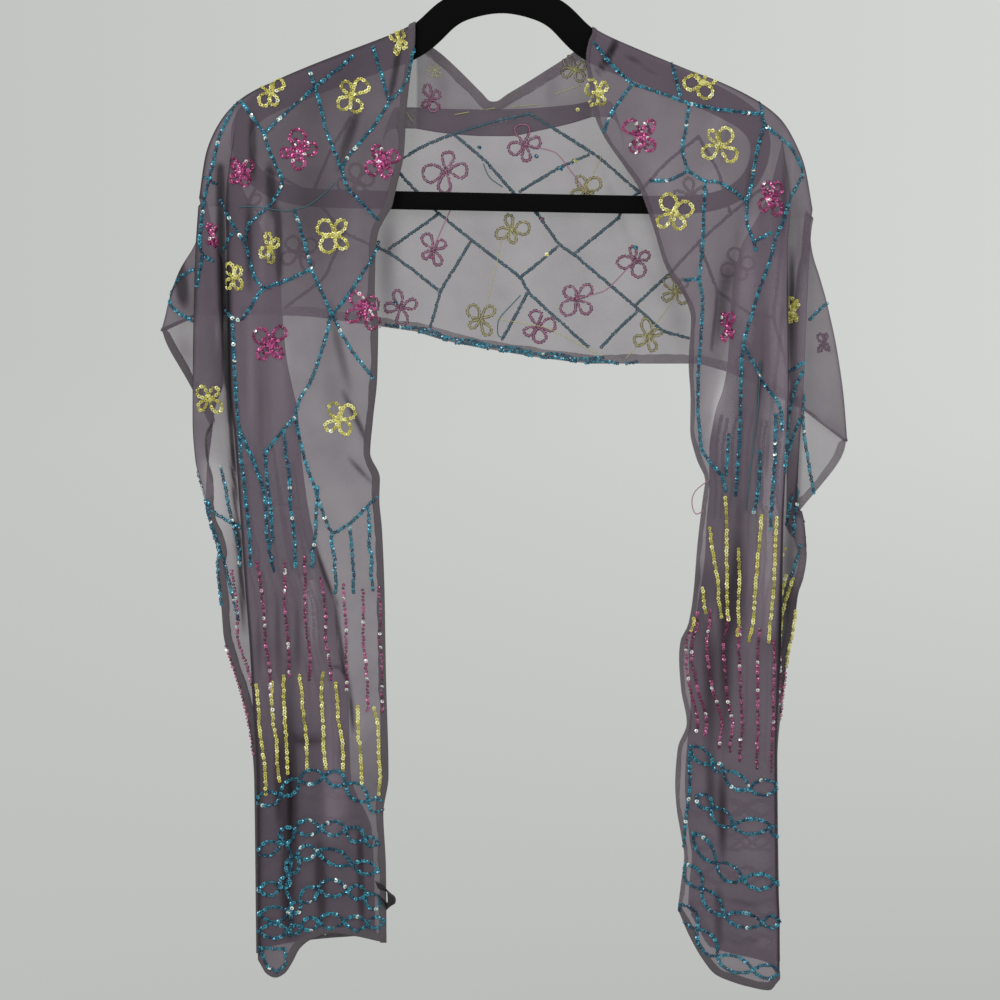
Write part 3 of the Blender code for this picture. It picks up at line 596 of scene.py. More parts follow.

# %% [markdown]
# ## Creases
#
# A hanging sheet is never smooth between its folds. Each crease here is one pass of the thumb: a
# three-point line, how wide it is, and how far it stands out towards the viewer or, below zero,
# sinks away. They push every layer under the thumb together, so the layers never cross.

# %% Creases in front and behind
# Each row: start x, z, middle x, z, end x, z, width, height, and how much it draws the cloth together and
# paints shade on it; below zero it thins the cloth and paints light on it
FRONT_CREASES = [
    (-220, -205, -219, -290, -215, -372, 3.2, -0.8, 1.9),
    (-215, -340, -210, -430, -206, -500, 2.2, -0.6, 1.9),
    (-206, -480, -204, -520, -201, -562, 2.6, -0.4, 1.8),
    (-228, -425, -226, -455, -220, -490, 9, 0, -0.9), (-252, -272, -251, -296, -247, -318, 8, 0, 1.8),
    (-249, -333, -248, -347, -247, -362, 7, 0, 0.7), (-223, -318, -222, -335, -221, -350, 2.5, 0, -0.6),
    (-198, -322, -197, -360, -195, -400, 6, 0, -0.5), (-172, -335, -172, -370, -170, -410, 5, 0, -0.35),
    (-146, -495, -139, -522, -130, -540, 2.2, -1.2, 1.0),
    (-130, -540, -128, -575, -120, -607, 2.2, -1.2, 1.0),
    (-120, -607, -118, -622, -117, -640, 2, -1, 0.8),
    (-138, -590, -130, -588, -122, -596, 1.8, -0.8, 0.7),
    (-152, -515, -152, -545, -151, -575, 6, 0.8, -0.6), (-166, -575, -166, -680, -165, -785, 6, 0, 0.5),
    (-135, -570, -134, -640, -134, -720, 5, 0, -0.4), (-214, -280, -213, -340, -212, -400, 3.5, 0, 0.9),
    (-230, -320, -230, -370, -228, -410, 6, 0, -0.4), (187, -240, 186, -290, 183, -350, 6.5, 0.5, -0.8),
    (170, -255, 165, -295, 160, -335, 6, 0, 0.22), (-229, -240, -229, -310, -227, -400, 9, 0, 0.5),
    (-140, -320, -134, -380, -124, -440, 11, 0, 0.22), (-108, -110, -130, -150, -170, -170, 14, 0, 0.16),
    (-150, -190, -150, -240, -148, -300, 22, 0, 0.16), (174, -162, 170, -185, 167, -207, 4.5, -1, 0.48),
    (-195, -165, -195, -190, -194, -215, 2.6, -1.2, 0.67),
    (-181, -205, -180, -225, -178, -243, 3, -1.5, 0.8),
    (-175, -240, -174, -262, -173, -295, 2.4, -1.6, 0.88),
    (-197, -235, -197, -265, -196, -300, 2.6, -1.2, 0.56),
    (-187, -225, -187, -270, -186, -330, 4, 1.8, -0.15),
    (-113, -160, -120, -180, -128, -205, 3.4, -1.5, 0.56),
    (-81, -108, -84, -128, -89, -152, 2, -1.2, 0.8), (-201, -315, -200, -350, -199, -400, 3.6, -1.2, 0.4),
    (-189, -350, -188, -390, -186, -440, 4, -1.4, 0.35),
    (-178, -330, -177, -400, -174, -450, 4.5, 1.5, -0.18),
    (-134, -312, -128, -345, -119, -378, 3.4, -1.6, 0.45),
    (-124, -380, -114, -400, -103, -424, 2.4, -1.6, 0.8),
    (-120, -430, -111, -440, -101, -450, 2, -1.1, 0.64),
    (-180, -464, -165, -466, -150, -471, 2.4, -1, 0.4),
    (-159, -530, -159, -560, -159, -592, 3.2, -1.4, 0.56),
    (-175, -522, -175, -560, -174, -600, 3.2, -1.3, 0.51),
    (-189, -545, -189, -570, -188, -600, 2.6, -1, 0.4),
    (-148, -525, -146, -555, -145, -590, 3.6, 1.4, -0.3),
    (-166, -645, -152, -649, -138, -646, 4, -1.1, 0.45),
    (-165, -655, -165, -700, -166, -748, 3.4, -1.5, 0.64),
    (-168, -742, -168, -770, -166, -798, 3.6, -1.3, 0.64),
    (-143, -725, -142, -755, -141, -788, 4, -1.3, 0.51),
    (-129, -672, -128, -690, -128, -712, 8, 1.2, -0.3),
    (-112, -715, -111, -750, -110, -790, 2.4, -1, 0.56),
    (-174, -640, -174, -675, -174, -712, 3, -1.1, 0.4),
    (-150, -150, -148, -230, -144, -325, 10, -1.5, 0.08),
    (-112, -210, -112, -260, -120, -300, 9, 1.5, -0.1),
    (-118, -560, -114, -620, -112, -680, 6, 1.1, -0.1), (86, -106, 81, -119, 72, -131, 2.6, -2.6, 1.5),
    (84, -111, 100, -124, 120, -135, 2, -0.8, 0.56), (216, -195, 215, -230, 213, -265, 2.8, -1.3, 0.56),
    (228, -240, 227, -270, 226, -300, 3, -1.2, 0.56), (222, -195, 222, -215, 221, -240, 2, 1, -0.2),
    (204, -190, 202, -230, 204, -280, 3.4, 1.3, -0.15), (190, -195, 188, -215, 186, -240, 3, -1.2, 0.48),
    (187, -228, 181, -260, 173, -296, 5.5, -2.4, 0.5), (172, -280, 167, -320, 159, -360, 6.5, -3, 0.8),
    (185, -280, 179, -326, 166, -358, 4, 1.8, -0.25), (195, -312, 200, -350, 195, -384, 4.4, -1.8, 0.72),
    (196, -358, 194, -395, 191, -430, 2.2, -1.2, 0.65), (221, -270, 221, -320, 219, -372, 3.2, -1, 1.8),
    (219, -372, 218, -390, 216, -412, 2.4, -0.8, 1.1), (230, -376, 229, -410, 225, -472, 2.2, -0.8, 1.2),
    (172, -345, 170, -385, 168, -430, 8, 0, -0.5), (208, -280, 208, -345, 207, -410, 7, 1.6, -0.8),
    (206, -400, 204, -480, 201, -560, 7.5, 0.8, -1.2), (212, -330, 213, -370, 212, -425, 5, 0, -0.8),
    (230, -285, 230, -360, 227, -450, 4.5, 0, -0.8), (168, -372, 163, -395, 156, -412, 3.2, 0.5, -0.9),
    (145, -310, 147, -370, 151, -440, 8, 0, 0.5), (246, -275, 248, -330, 250, -395, 14, 0, -0.3),
    (219, -425, 221, -500, 217, -570, 8, 0, 0.8), (218, -530, 216, -570, 213, -610, 5, 0, 0.9),
    (212.5, -313, 209.4, -351, 202.9, -402.7, 1.5, -0.2, 0.96),
    (202.9, -402.7, 201, -425, 200, -444, 1.5, -0.2, 0.96),
    (186, -345, 185, -410, 181, -475, 5, -1.4, 0.42), (160, -395, 158, -402, 157, -412, 4, -1, 0.48),
    (237, -396, 250, -404, 262, -413, 4, -0.6, 0.48), (180, -465, 178, -510, 175, -565, 5, -1.6, 0.5),
    (190, -478, 189, -540, 187, -612, 5, 1.4, -0.18), (160, -545, 161, -560, 162, -576, 6, 1, -0.2),
    (157, -560, 158, -615, 158, -665, 6, -1.4, 0.6), (169, -528, 169, -590, 169, -655, 4.6, -1.4, 0.56),
    (167, -668, 167, -705, 167, -740, 4, -1.5, 0.8), (157, -662, 158, -685, 158, -710, 4, -1.2, 0.64),
    (164, -760, 164, -785, 164, -810, 4, -1.2, 0.56), (163, -768, 186, -776, 210, -768, 3.2, -1, 0.4),
    (168, -800, 182, -803, 196, -800, 3.2, -1, 0.45), (190, -712, 190, -728, 190, -745, 11, 1, -0.25),
    (202, -580, 202, -630, 201, -690, 5, 1, -0.1), (112, -130, 114, -180, 124, -235, 8, 1.4, -0.08),
    (140, -215, 142, -250, 146, -290, 8, -1.2, 0.1), (118, -165, 132, -215, 142, -285, 24, 0, -0.34),
    (166, -165, 164, -200, 158, -240, 12, 0, -0.3),
]
# The first two rows of the back paint the shadow that the front's inner edges cast on it
BACK_CREASES = [
    (-92, -240, -94, -280, -92, -325, 8, 0, 0.6), (100, -205, 122, -255, 139, -345, 8, 0, 0.6),
    (-60, -165, -56, -230, -62, -325, 11, 1.6, 0), (-28, -185, -20, -240, -24, -338, 14, -1.8, 0.12),
    (18, -190, 14, -250, 20, -345, 12, 1.5, -0.05), (52, -180, 50, -240, 58, -350, 12, -1.7, 0.12),
    (-52, -118, -50, -140, -48, -156, 6, 1, 0.2), (40, -122, 36, -138, 34, -154, 6, -0.9, 0.2),
    (-140, -160, -138, -230, -142, -318, 16, -2, 0), (-190, -180, -192, -240, -198, -315, 11, 1.6, 0),
    (110, -140, 112, -240, 104, -350, 15, -1.8, 0), (160, -160, 162, -260, 156, -355, 13, 1.8, 0),
    (205, -190, 208, -280, 206, -375, 9, -1.4, 0), (-88, -180, -89, -240, -90, -325, 7, -1, 0.35),
    (-30, -203, 10, -206, 45, -198, 2.4, -0.7, 0.14), (-20, -210, 15, -214, 50, -208, 2, -0.6, 0.12),
    (70, -200, 85, -225, 96, -262, 3, -0.8, 0.3), (100, -262, 112, -285, 122, -308, 4, -0.8, 0.25),
    (-40, -300, -20, -306, 6, -300, 3, -0.7, 0.12), (10, -330, 40, -318, 74, -300, 3, -0.7, 0.1),
]


CREASE_STEPS, CREASE_REACH = 16, 3
# The cloth is free to move from this far off the hanger's middle, and wholly free at the second
LIES_WITHIN, FREE_BEYOND = 1.5, 9
# The soft waves of the sheet: how long and how high, in mm
RIPPLES = ((95, 0.55), (61, 0.45), (38, 0.32), (23, 0.2), (14, 0.1))
BACK_RIPPLE = 0.6


def crease_push(x, z, creases):
    """How far a thumb has moved the cloth at each place, and how much it has drawn it together and painted
    shade on it, or painted light where that is below zero.
    """
    push, gathered_and_shaded = np.zeros(len(x)), np.zeros(len(x))
    for x0, z0, x1, z1, x2, z2, width, height, gather in creases:
        round_it = CREASE_REACH * width
        near = ((x > min(x0, x1, x2) - round_it) & (x < max(x0, x1, x2) + round_it)
                & (z > min(z0, z1, z2) - round_it) & (z < max(z0, z1, z2) + round_it))
        t = np.linspace(0, 1, CREASE_STEPS + 1)[:, None]
        start, middle, end = np.array([x0, z0]), np.array([x1, z1]), np.array([x2, z2])
        path = (1 - t) ** 2 * start + 2 * t * (1 - t) * middle + t * t * end
        step = np.diff(path, axis=0)
        off = np.stack([x[near], z[near]], axis=1)[:, None] - path[None, :-1]
        share = np.clip(np.sum(off * step, axis=2) / np.sum(step * step, axis=1), 0, 1)
        far = np.sum((off - share[..., None] * step) ** 2, axis=2)
        best = far.argmin(axis=1)
        line = np.arange(len(best))
        done = (best + share[line, best]) / CREASE_STEPS
        strength = np.sin(np.pi * np.clip(0.06 + 0.88 * done, 0, 1)) ** 0.6
        touch = strength * np.exp(-far[line, best] / width ** 2)
        push[near] += height * touch
        gathered_and_shaded[near] += gather * touch
    return push, gathered_and_shaded


def ripple(x, z, seed):
    """Soft unevenness: a few long waves at odd angles, with a fixed seed."""
    rng = np.random.default_rng(seed)
    total = np.zeros(len(x))
    for length, size in RIPPLES:
        angle = rng.uniform(-0.5, 0.5)
        phase = rng.uniform(0, math.tau)
        bend = 6 * np.sin(z / 47 + phase)
        run = (x + bend) * math.cos(angle) + z * 0.35 * math.sin(angle)
        total += size * np.sin(math.tau * run / length + phase)
    return total


def creased(grid):
    """The grid after the creases, which fade out where the cloth lies on the hanger, and how much they draw
    it together and paint shade or light on it.
    """
    flat = grid.reshape(-1, 3).copy()
    x, y, z = flat.T
    clear = soft_step(LIES_WITHIN, FREE_BEYOND, np.abs(y))
    front_push, front_gather_and_shade = crease_push(x, z, FRONT_CREASES)
    back_push, back_gather_and_shade = crease_push(x, z, BACK_CREASES)
    push = np.where(y < 0, -front_push - ripple(x, z, 3), back_push + BACK_RIPPLE * ripple(x, z, 8))
    flat[:, 1] += push * clear
    return flat.reshape(grid.shape), np.where(y < 0, front_gather_and_shade, back_gather_and_shade).reshape(grid.shape[:2])


for side in (LEFT, RIGHT):
    for key in ("fall", "shoulder", "corner_grid"):
        side[key], side[key + "_gather"] = creased(side[key])
neck, neck_gather_and_shade = creased(neck)
nearest = min(side["fall"][..., 1].min() for side in (LEFT, RIGHT))
print("deepest and nearest point, mm:", round(float(neck[..., 1].max()), 1), round(float(nearest), 1))

# %% [markdown]
# ## Joining the sheet
#
# All the grids share their border points, so welding points that coincide makes them one mesh.
# The right side of the cloth is the side that its faces point to. A point attribute, for gather and
# shade, marks where the chiffon hangs dense, is bunched in a crease or turns steeply away, and
# carries painted shade along the folds, in the creases and behind the front's edges; a second one
# carries painted highlight on the ridges. A UV map holds true distances on the cloth, so that the
# weave follows the sheet round every turn.

# %% One mesh from the grids
# How dense the front layer hangs at each distance down; over about two thirds the colour darkens too, which
# is painted shade
LEFT["dense"] = [(96, 0.77), (236, 0.77), (300, 0.67), (360, 0.60), (450, 0.55), (520, 0.52),
                 (600, 0.60), (680, 0.80), (807, 0.80)]
RIGHT["dense"] = [(96, 0.61), (245, 0.55), (350, 0.40), (440, 0.42), (480, 0.58), (540, 0.80),
                  (600, 0.66), (650, 0.58), (783, 0.58)]
BACK_DENSITY, CORNER_DENSITY, FOLDED_DENSITY, CREASE_SHARE = 0.14, 0.17, 0.62, 0.55
# How much each layer counts beside the front one, and how bunched the cloth is at its turns, which
# also paints shade along the folds
LAYER_DENSITY = {"front": 1.0, "ridge": 1.0, "edge": 0.7, "lip": 0.45, "outer": 0.62}
TURN_BUNCH_AND_SHADE = {"ridge": 0.75, "tuck": 0.35, "edge": 0.5}
# Cloth that turns from the viewer hangs denser, up to a limit, and its colour deepens with it as
# painted shade; deep creases get a further painted shadow that darkens their colour
STEEPEST, MOST_STEEP, STEEP_SHARE, CREASE_SHADOW_FROM, MOST_CREASE_SHADOW = 0.35, 1.6, 0.4, 1.1, 0.5
WELD = 0.03


def gather_and_shade_of_columns():
    """How bunched each column of a fall is, which also paints shade on it, beside its layer's own density:
    most at its folds.
    """
    bunch_and_shade, dense = [], []
    for name, share in shares:
        turning = TURN_BUNCH_AND_SHADE.get(name)
        if turning is None:
            count = LAYERS[name][1]
            near = (1 - share) * count if name == "front" else min(share, 1 - share) * count
            turning = 0.4 * math.exp(-near / 1.8) if name in ("front", "middle", "outer") else 0.1
        bunch_and_shade.append(turning)
        dense.append(LAYER_DENSITY.get(name, 0.4))
    return np.array(bunch_and_shade), np.array(dense)


def uv_of(grid):
    """Distances over the cloth from the grid's first point: down its rows and across its columns."""
    rows = np.linalg.norm(np.diff(grid, axis=0), axis=2).mean(axis=1)
    cols = np.linalg.norm(np.diff(grid, axis=1), axis=2)
    v = np.concatenate([[0], np.cumsum(rows)])
    u = np.concatenate([np.zeros((len(grid), 1)), np.cumsum(cols, axis=1)], axis=1)
    return np.stack([u, np.broadcast_to(v[:, None], u.shape)], axis=2)


points, quads, gathers_and_shades, lights, uvs = [], [], [], [], []


def add_grid(grid, flip, gather, creases, uv_shift=(0, 0)):
    """Adds a grid's points and faces to the sheet. flip turns its faces to the other side."""
    start = sum(len(p) for p in points)
    rows, cols = grid.shape[:2]
    index = start + np.arange(rows * cols).reshape(rows, cols)
    ring = [index[:-1, :-1], index[1:, :-1], index[1:, 1:], index[:-1, 1:]]
    if flip:
        ring = ring[::-1]
    quads.append(np.stack([r.ravel() for r in ring], axis=1))
    points.append(grid.reshape(-1, 3))
    gathers_and_shades.append((gather + CREASE_SHARE * creases).ravel())
    # Crease rows below zero give painted highlight on the ridges
    lights.append(np.clip(-creases, 0, 1).ravel())
    uvs.append((uv_of(grid) + np.array(uv_shift)).reshape(-1, 2))


bunch_and_shade, dense = gather_and_shade_of_columns()
for side in (LEFT, RIGHT):
    left = side["way"] < 0
    fall_down, legs = -side["fall"][..., 2], side["shoulder"]
    sharp = soft_step(*side["creased"], fall_down)
    fall_gather = CREASE_SHARE * bunch_and_shade * sharp + line_at(side["dense"], fall_down) * dense
    add_grid(side["fall"], left, fall_gather, side["fall_gather"])
    upper_dense = line_at(side["dense"], -legs[..., 2]) * (0.6 + 0.4 * dense[:SHOULDER_COLUMNS])
    behind = soft_step(-3, 4, legs[..., 1])
    sharp = soft_step(*side["creased"], -legs[..., 2]) * (1 - behind)
    add_grid(legs, not left, CREASE_SHARE * sharp * bunch_and_shade[:SHOULDER_COLUMNS]
             + upper_dense * (1 - behind) + BACK_DENSITY * behind, side["shoulder_gather"], (0, 300))
    add_grid(side["corner_grid"], left, CORNER_DENSITY, side["corner_grid_gather"], (250, 0))
turned = FLAP_ROWS + 2 * NECK_FOLD_ROWS + RISER_ROWS
folded = np.arange(len(neck)) < turned
add_grid(neck, True, np.where(folded, FOLDED_DENSITY, BACK_DENSITY)[:, None], neck_gather_and_shade, (500, 300))
points, quads = np.concatenate(points), np.concatenate(quads)
gathers_and_shades, uvs = np.concatenate(gathers_and_shades), np.concatenate(uvs)
_, first, index = np.unique(np.round(points / WELD).astype(int), axis=0, return_index=True,
                            return_inverse=True)
faces = index.ravel()[quads]
whole = []
for quad, source in zip(faces.tolist(), quads.tolist()):
    kept, own = [], []
    for vertex, old in zip(quad, source):
        if vertex not in kept:
            kept.append(vertex)
            own.append(old)
    if len(kept) > 2:
        whole.append((kept, own))
cloth_mesh = bpy.data.meshes.new("scarf_cloth")
cloth_mesh.from_pydata((points[first] * MM).tolist(), [], [kept for kept, _ in whole])
uv_layer = cloth_mesh.uv_layers.new(name="weave")
uv_layer.data.foreach_set("uv", np.array([uvs[old] for _, own in whole for old in own]).ravel() * MM)
cloth_mesh.shade_smooth()
cloth_mesh.validate()
facing = np.empty(len(cloth_mesh.vertices) * 3)
cloth_mesh.vertex_normals.foreach_get("vector", facing)
steep = np.clip(1 / np.maximum(np.abs(facing.reshape(-1, 3)[:, 1]), STEEPEST) - 1, 0, MOST_STEEP)
# Beyond a limit a crease only darkens in colour: a painted shadow
painted_crease_shadow = np.clip(gathers_and_shades[first] - CREASE_SHADOW_FROM, 0, MOST_CREASE_SHADOW)
gather = np.clip(gathers_and_shades[first] + STEEP_SHARE * steep, 0, 1) + painted_crease_shadow
for name, values in (("gather", gather), ("painted_light", np.concatenate(lights)[first])):
    cloth_mesh.attributes.new(name, "FLOAT", "POINT").data.foreach_set("value", values.astype(np.float32))
scarf_cloth = placed("scarf_cloth", cloth_mesh)
print("cloth:", len(cloth_mesh.vertices), "points,", sum(len(k) - 2 for k, _ in whole), "triangles")

# %% [markdown]
# ## Rolled hems
#
# The edge is turned twice and sewn, so three layers lie in a band 3 to 8 mm wide. It shows as a
# dark, slightly wrinkled border. Each hem is a flat tube that follows the edge of the sheet: a
# small ring of points at every step, wider and narrower as a hand-fed hem is. Where two edges
# meet at the scarf's corners the tubes overlap, as the real hems do.

# %% Hem tubes
HEM_WIDTH, HEM_THICK, HEM_STEP, HEM_EASINGS, RING = 6.6, 0.55, 2.6, 4, 10
# Each row: how far apart the chance values lie, how far past the end, and how many more are drawn
WAVER, PUCKER = (13, 14, 3), (4, 8, 6)


def uneven(rng, length, at, step, past, spare):
    """Chance values between -1 and 1 at even steps along a length, joined by straight lines."""
    keys = np.arange(0, length + past, step)
    return np.interp(at, keys, rng.uniform(-1, 1, int(length / step) + spare)[: len(keys)])


def hem_tube(name, edge, inside, seed, width=HEM_WIDTH, upright=None):
    """A closed flat tube from the edge line inwards. inside holds a point on the cloth, further in.
    Where upright is 1 the band follows inside exactly, and where it is 0 it stands square to the edge."""
    edge, inside = np.asarray(edge), np.asarray(inside)
    width = np.broadcast_to(np.asarray(width, float), len(edge))
    upright = np.zeros(len(edge)) if upright is None else np.asarray(upright, float)
    keep = np.concatenate([[True], np.linalg.norm(np.diff(edge, axis=0), axis=1) > 0.05])
    edge, inside, upright, width = edge[keep], inside[keep], upright[keep], width[keep]
    run = run_of(edge)
    steps = np.linspace(0, run[-1], max(int(run[-1] / HEM_STEP), 4))
    edge, inside = (
        np.stack([np.interp(steps, run, line[:, k]) for k in range(3)], axis=1) for line in (edge, inside)
    )
    ahead = np.gradient(edge, axis=0)
    ahead /= np.linalg.norm(ahead, axis=1)[:, None]
    inwards = inside - edge
    square = 1 - np.interp(steps, run, upright)
    inwards -= ahead * (square * np.sum(inwards * ahead, axis=1))[:, None]
    inwards /= np.linalg.norm(inwards, axis=1)[:, None]
    for _ in range(HEM_EASINGS):
        inwards[1:-1] = (inwards[:-2] + 2 * inwards[1:-1] + inwards[2:]) / 4
    inwards /= np.linalg.norm(inwards, axis=1)[:, None]
    up = np.cross(ahead, inwards)
    rng = np.random.default_rng(seed)
    waver, pucker = (uneven(rng, run[-1], steps, *luck) for luck in (WAVER, PUCKER))
    wide = np.interp(steps, run, width) + 0.8 * waver + 0.35 * pucker
    rings = []
    for a in math.tau * np.arange(RING) / RING:
        c, s = math.cos(a), math.sin(a)
        out = wide / 2 + (wide / 2 + 0.25) * math.copysign(abs(c) ** 0.55, c)
        above = HEM_THICK * math.copysign(abs(s) ** 0.7, s) * (1 + 0.35 * pucker)
        rings.append(edge + inwards * out[:, None] + up * (above + 0.25 * waver)[:, None])
    made = swept(name, np.stack(rings, axis=1), False)
    corner = np.empty(len(made.data.loops), np.int32)
    made.data.loops.foreach_get("vertex_index", corner)
    around, along_edge = np.tile(np.arange(RING) * 1.6, len(steps)), np.repeat(steps, RING)
    uv = np.stack([around[corner], along_edge[corner]], axis=1) * MM
    made.data.uv_layers.new(name="weave").data.foreach_set("uv", uv.ravel())
    return made


# %% Hem edges read from the grids
over = FRONT_LEG_ROWS + SADDLE_ROWS
# How wide the hem is across the ends, and how far out from a corner of the fold it stands upright
END_HEM, UPRIGHT_REACH = 5.6, 7


def inner_line(side, column):
    """One column of a side, from the end up over the arm."""
    return np.concatenate([side["fall"][::-1][:, column], side["shoulder"][1:over][:, column]])


hems = []
for side, word, inner_width in ((LEFT, "left", 5.2), (RIGHT, "right", 3.2)):
    inner_edge = hem_tube(f"{word}_inner_edge", inner_line(side, 0), inner_line(side, 3), 11, inner_width)
    hems.append((inner_edge, (f"{word}_inner_hem",)))
    begin, count = LAYERS["outer"]
    last = begin + count
    low_edge, low_inside = side["fall"][-1, :last + 1], side["fall"][-3, :last + 1]
    turns = [LAYERS[k][0] + 4 for k in ("ridge", "tuck")] + [0, last]
    upright = [max(math.exp(-((k - c) / UPRIGHT_REACH) ** 2) for c in turns) for k in range(last + 1)]
    hems.append((hem_tube(f"{word}_end_edge", low_edge, low_inside, 12, END_HEM, upright),
                 (f"{word}_end_hem",)))
    fall = side["fall"][TURN_ROWS:][::-1]
    outer_edge = np.concatenate([fall[:, -1], side["corner_grid"][-1, 1:]])
    outer_inside = np.concatenate([fall[:, last - 3], side["corner_grid"][-4, 1:]])
    wide = np.full(len(outer_edge), END_HEM)
    wide[len(fall) + FRONT_LEG_ROWS - 1:] = 2
    hems.append((hem_tube(f"{word}_corner_edge", outer_edge, outer_inside, 13, wide),
                 (f"{word}_wing_hem",)))
hems.append((hem_tube("neck_edge", neck[0], neck[2], 15, 7.5), ("neck_hem",)))
lower = [
    np.concatenate([LEFT["shoulder"][k][::-1], neck[k][1:-1], RIGHT["shoulder"][k]]) for k in (-1, -3)
]
hems.append((hem_tube("back_edge", *lower, 16), ("left_back_hem", "back_hem", "right_back_hem")))
print("hems:", [made.name for made, _ in hems])

# %% [markdown]
# ## Chiffon
#
# Silk chiffon is a sheer plain weave of hard-twisted crepe yarns. In a single layer about half of
# the light goes straight through the gaps between the yarns, which is what Alpha says; the yarns
# themselves are a dusty lilac, dull, with a faint crepe grain. Bunched cloth lets less through,
# so the attribute of gathering closes the gaps. The same attribute deepens the colour along the
# folds and creases, which is painted shade, and a second one brightens the ridges that stand up
# into the light, which is painted highlight.

# %% Helpers for materials
def material(name):
    """A new material, its node tree and its shader."""
    made = bpy.data.materials.new(name)
    made.use_nodes = True
    return made, made.node_tree, made.node_tree.nodes["Principled BSDF"]


def set_inputs(node, **values):
    """Sets a node's inputs by their names. An underscore stands for a space."""
    for label, value in values.items():
        node.inputs[label.replace("_", " ")].default_value = value


def ranged(tree, source, low, high, at_low, at_high):
    """A Map Range node's result: source from low to high becomes at_low to at_high, clamped."""
    node = tree.nodes.new("ShaderNodeMapRange")
    set_inputs(node, From_Min=low, From_Max=high, To_Min=at_low, To_Max=at_high)
    tree.links.new(source, node.inputs["Value"])
    return node.outputs["Result"]


def sums(tree, what, first, second, third=None):
    """A Math node's result. A number or a socket goes in each place."""
    node = tree.nodes.new("ShaderNodeMath")
    node.operation = what
    for place, value in enumerate((first, second, third)):
        if isinstance(value, (int, float)):
            node.inputs[place].default_value = value
        elif value is not None:
            tree.links.new(value, node.inputs[place])
    return node.outputs["Value"]


def attribute(tree, name):
    """A number that the mesh carries."""
    node = tree.nodes.new("ShaderNodeAttribute")
    node.attribute_name = name
    return node.outputs["Fac"]


def noise(tree, scale, detail=2, uv_map=None):
    """Even noise in the object's own space, or along a UV map."""
    place = tree.nodes.new("ShaderNodeUVMap" if uv_map else "ShaderNodeTexCoord")
    if uv_map:
        place.uv_map = uv_map
    node = tree.nodes.new("ShaderNodeTexNoise")
    set_inputs(node, Scale=scale, Detail=detail)
    tree.links.new(place.outputs["UV" if uv_map else "Object"], node.inputs["Vector"])
    return node.outputs["Fac"]


def two_tone(tree, share, colour, lighter, darker):
    """A colour that wanders between a lighter and a darker tone of itself."""
    tint = tree.nodes.new("ShaderNodeMix")
    tint.data_type = "RGBA"
    set_inputs(tint, A=(*[c * lighter for c in colour], 1), B=(*[c * darker for c in colour], 1))
    tree.links.new(share, tint.inputs["Factor"])
    return tint.outputs["Result"]


def bumped(tree, shader, height, strength, distance):
    """Lets noise stand up from the surface by a small distance, in metres."""
    bump = tree.nodes.new("ShaderNodeBump")
    set_inputs(bump, Strength=strength, Distance=distance)
    tree.links.new(height, bump.inputs["Height"])
    tree.links.new(bump.outputs["Normal"], shader.inputs["Normal"])


def chiffon_material(name, sheer, colour, bunched):
    """See-through cloth: sheer is how much one flat layer covers, bunched how much a crease does."""
    made, tree, shader = material(name)
    gather, painted_light = attribute(tree, "gather"), attribute(tree, "painted_light")
    cloud, grain = noise(tree, 38, 4), noise(tree, 900, uv_map="weave")
    closed = ranged(tree, gather, 0, 1, sheer, bunched)
    clouded = sums(tree, "MULTIPLY_ADD", cloud, 0.14, closed)
    grained = sums(tree, "MULTIPLY_ADD", grain, 0.10, clouded)
    tree.links.new(sums(tree, "SUBTRACT", grained, 0.08), shader.inputs["Alpha"])
    deep = tree.nodes.new("ShaderNodeHueSaturation")
    tree.links.new(two_tone(tree, cloud, colour, 1.14, 0.86), deep.inputs["Color"])
    # Painted shade: the colour darkens where the cloth is dense or bunched, and darker still in deep
    # creases; painted highlight lightens the ridges
    shaded = ranged(tree, gather, 0.66, 1, 1, 0.3)
    painted_crease_shadow = ranged(tree, gather, 1.02, 1.35, 1, 0.2)
    painted_ridge_light = ranged(tree, painted_light, 0, 1, 1, 1.7)
    darkened = sums(tree, "MULTIPLY", shaded, painted_crease_shadow)
    tree.links.new(sums(tree, "MULTIPLY", darkened, painted_ridge_light), deep.inputs["Value"])
    tree.links.new(deep.outputs["Color"], shader.inputs["Base Color"])
    set_inputs(shader, Roughness=0.85, Specular_IOR_Level=0.2, Sheen_Weight=0.04)
    bumped(tree, shader, grain, 0.3, 0.0006)
    return made


chiffon = chiffon_material("lilac_chiffon", 0.46, (0.175, 0.137, 0.177), 0.92)
scarf_cloth.data.materials.append(chiffon)
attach(scarf_cloth, "root")
CLOTH_STRETCHES = ("fall", "end", "shoulder", "wing")
cloth_nodes = [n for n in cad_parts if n.split("_", 1)[-1] in CLOTH_STRETCHES]
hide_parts("back_span", *cloth_nodes)
print("cloth stands for", sorted(cloth_nodes) + ["back_span"])

# %% The hem finish
hem_cloth = chiffon_material("lilac_hem", 0.72, (0.142, 0.122, 0.140), 0.95)
fine_hem_cloth = chiffon_material("lilac_rolled_hem", 0.34, (0.150, 0.115, 0.145), 0.95)
FINE_HEMS = ("back_edge", "neck_edge", "right_inner_edge", "right_corner_edge")
for made, stands_for in hems:
    made.data.materials.append(fine_hem_cloth if made.name in FINE_HEMS else hem_cloth)
    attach(made, "root")
    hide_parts(*stands_for)

# %% [markdown]
# The hanger is flocked: short black fibres stand on a dull black body and drink the light, with
# only a breath of grey where they are seen edge on. The hook is plated steel wire, polished.

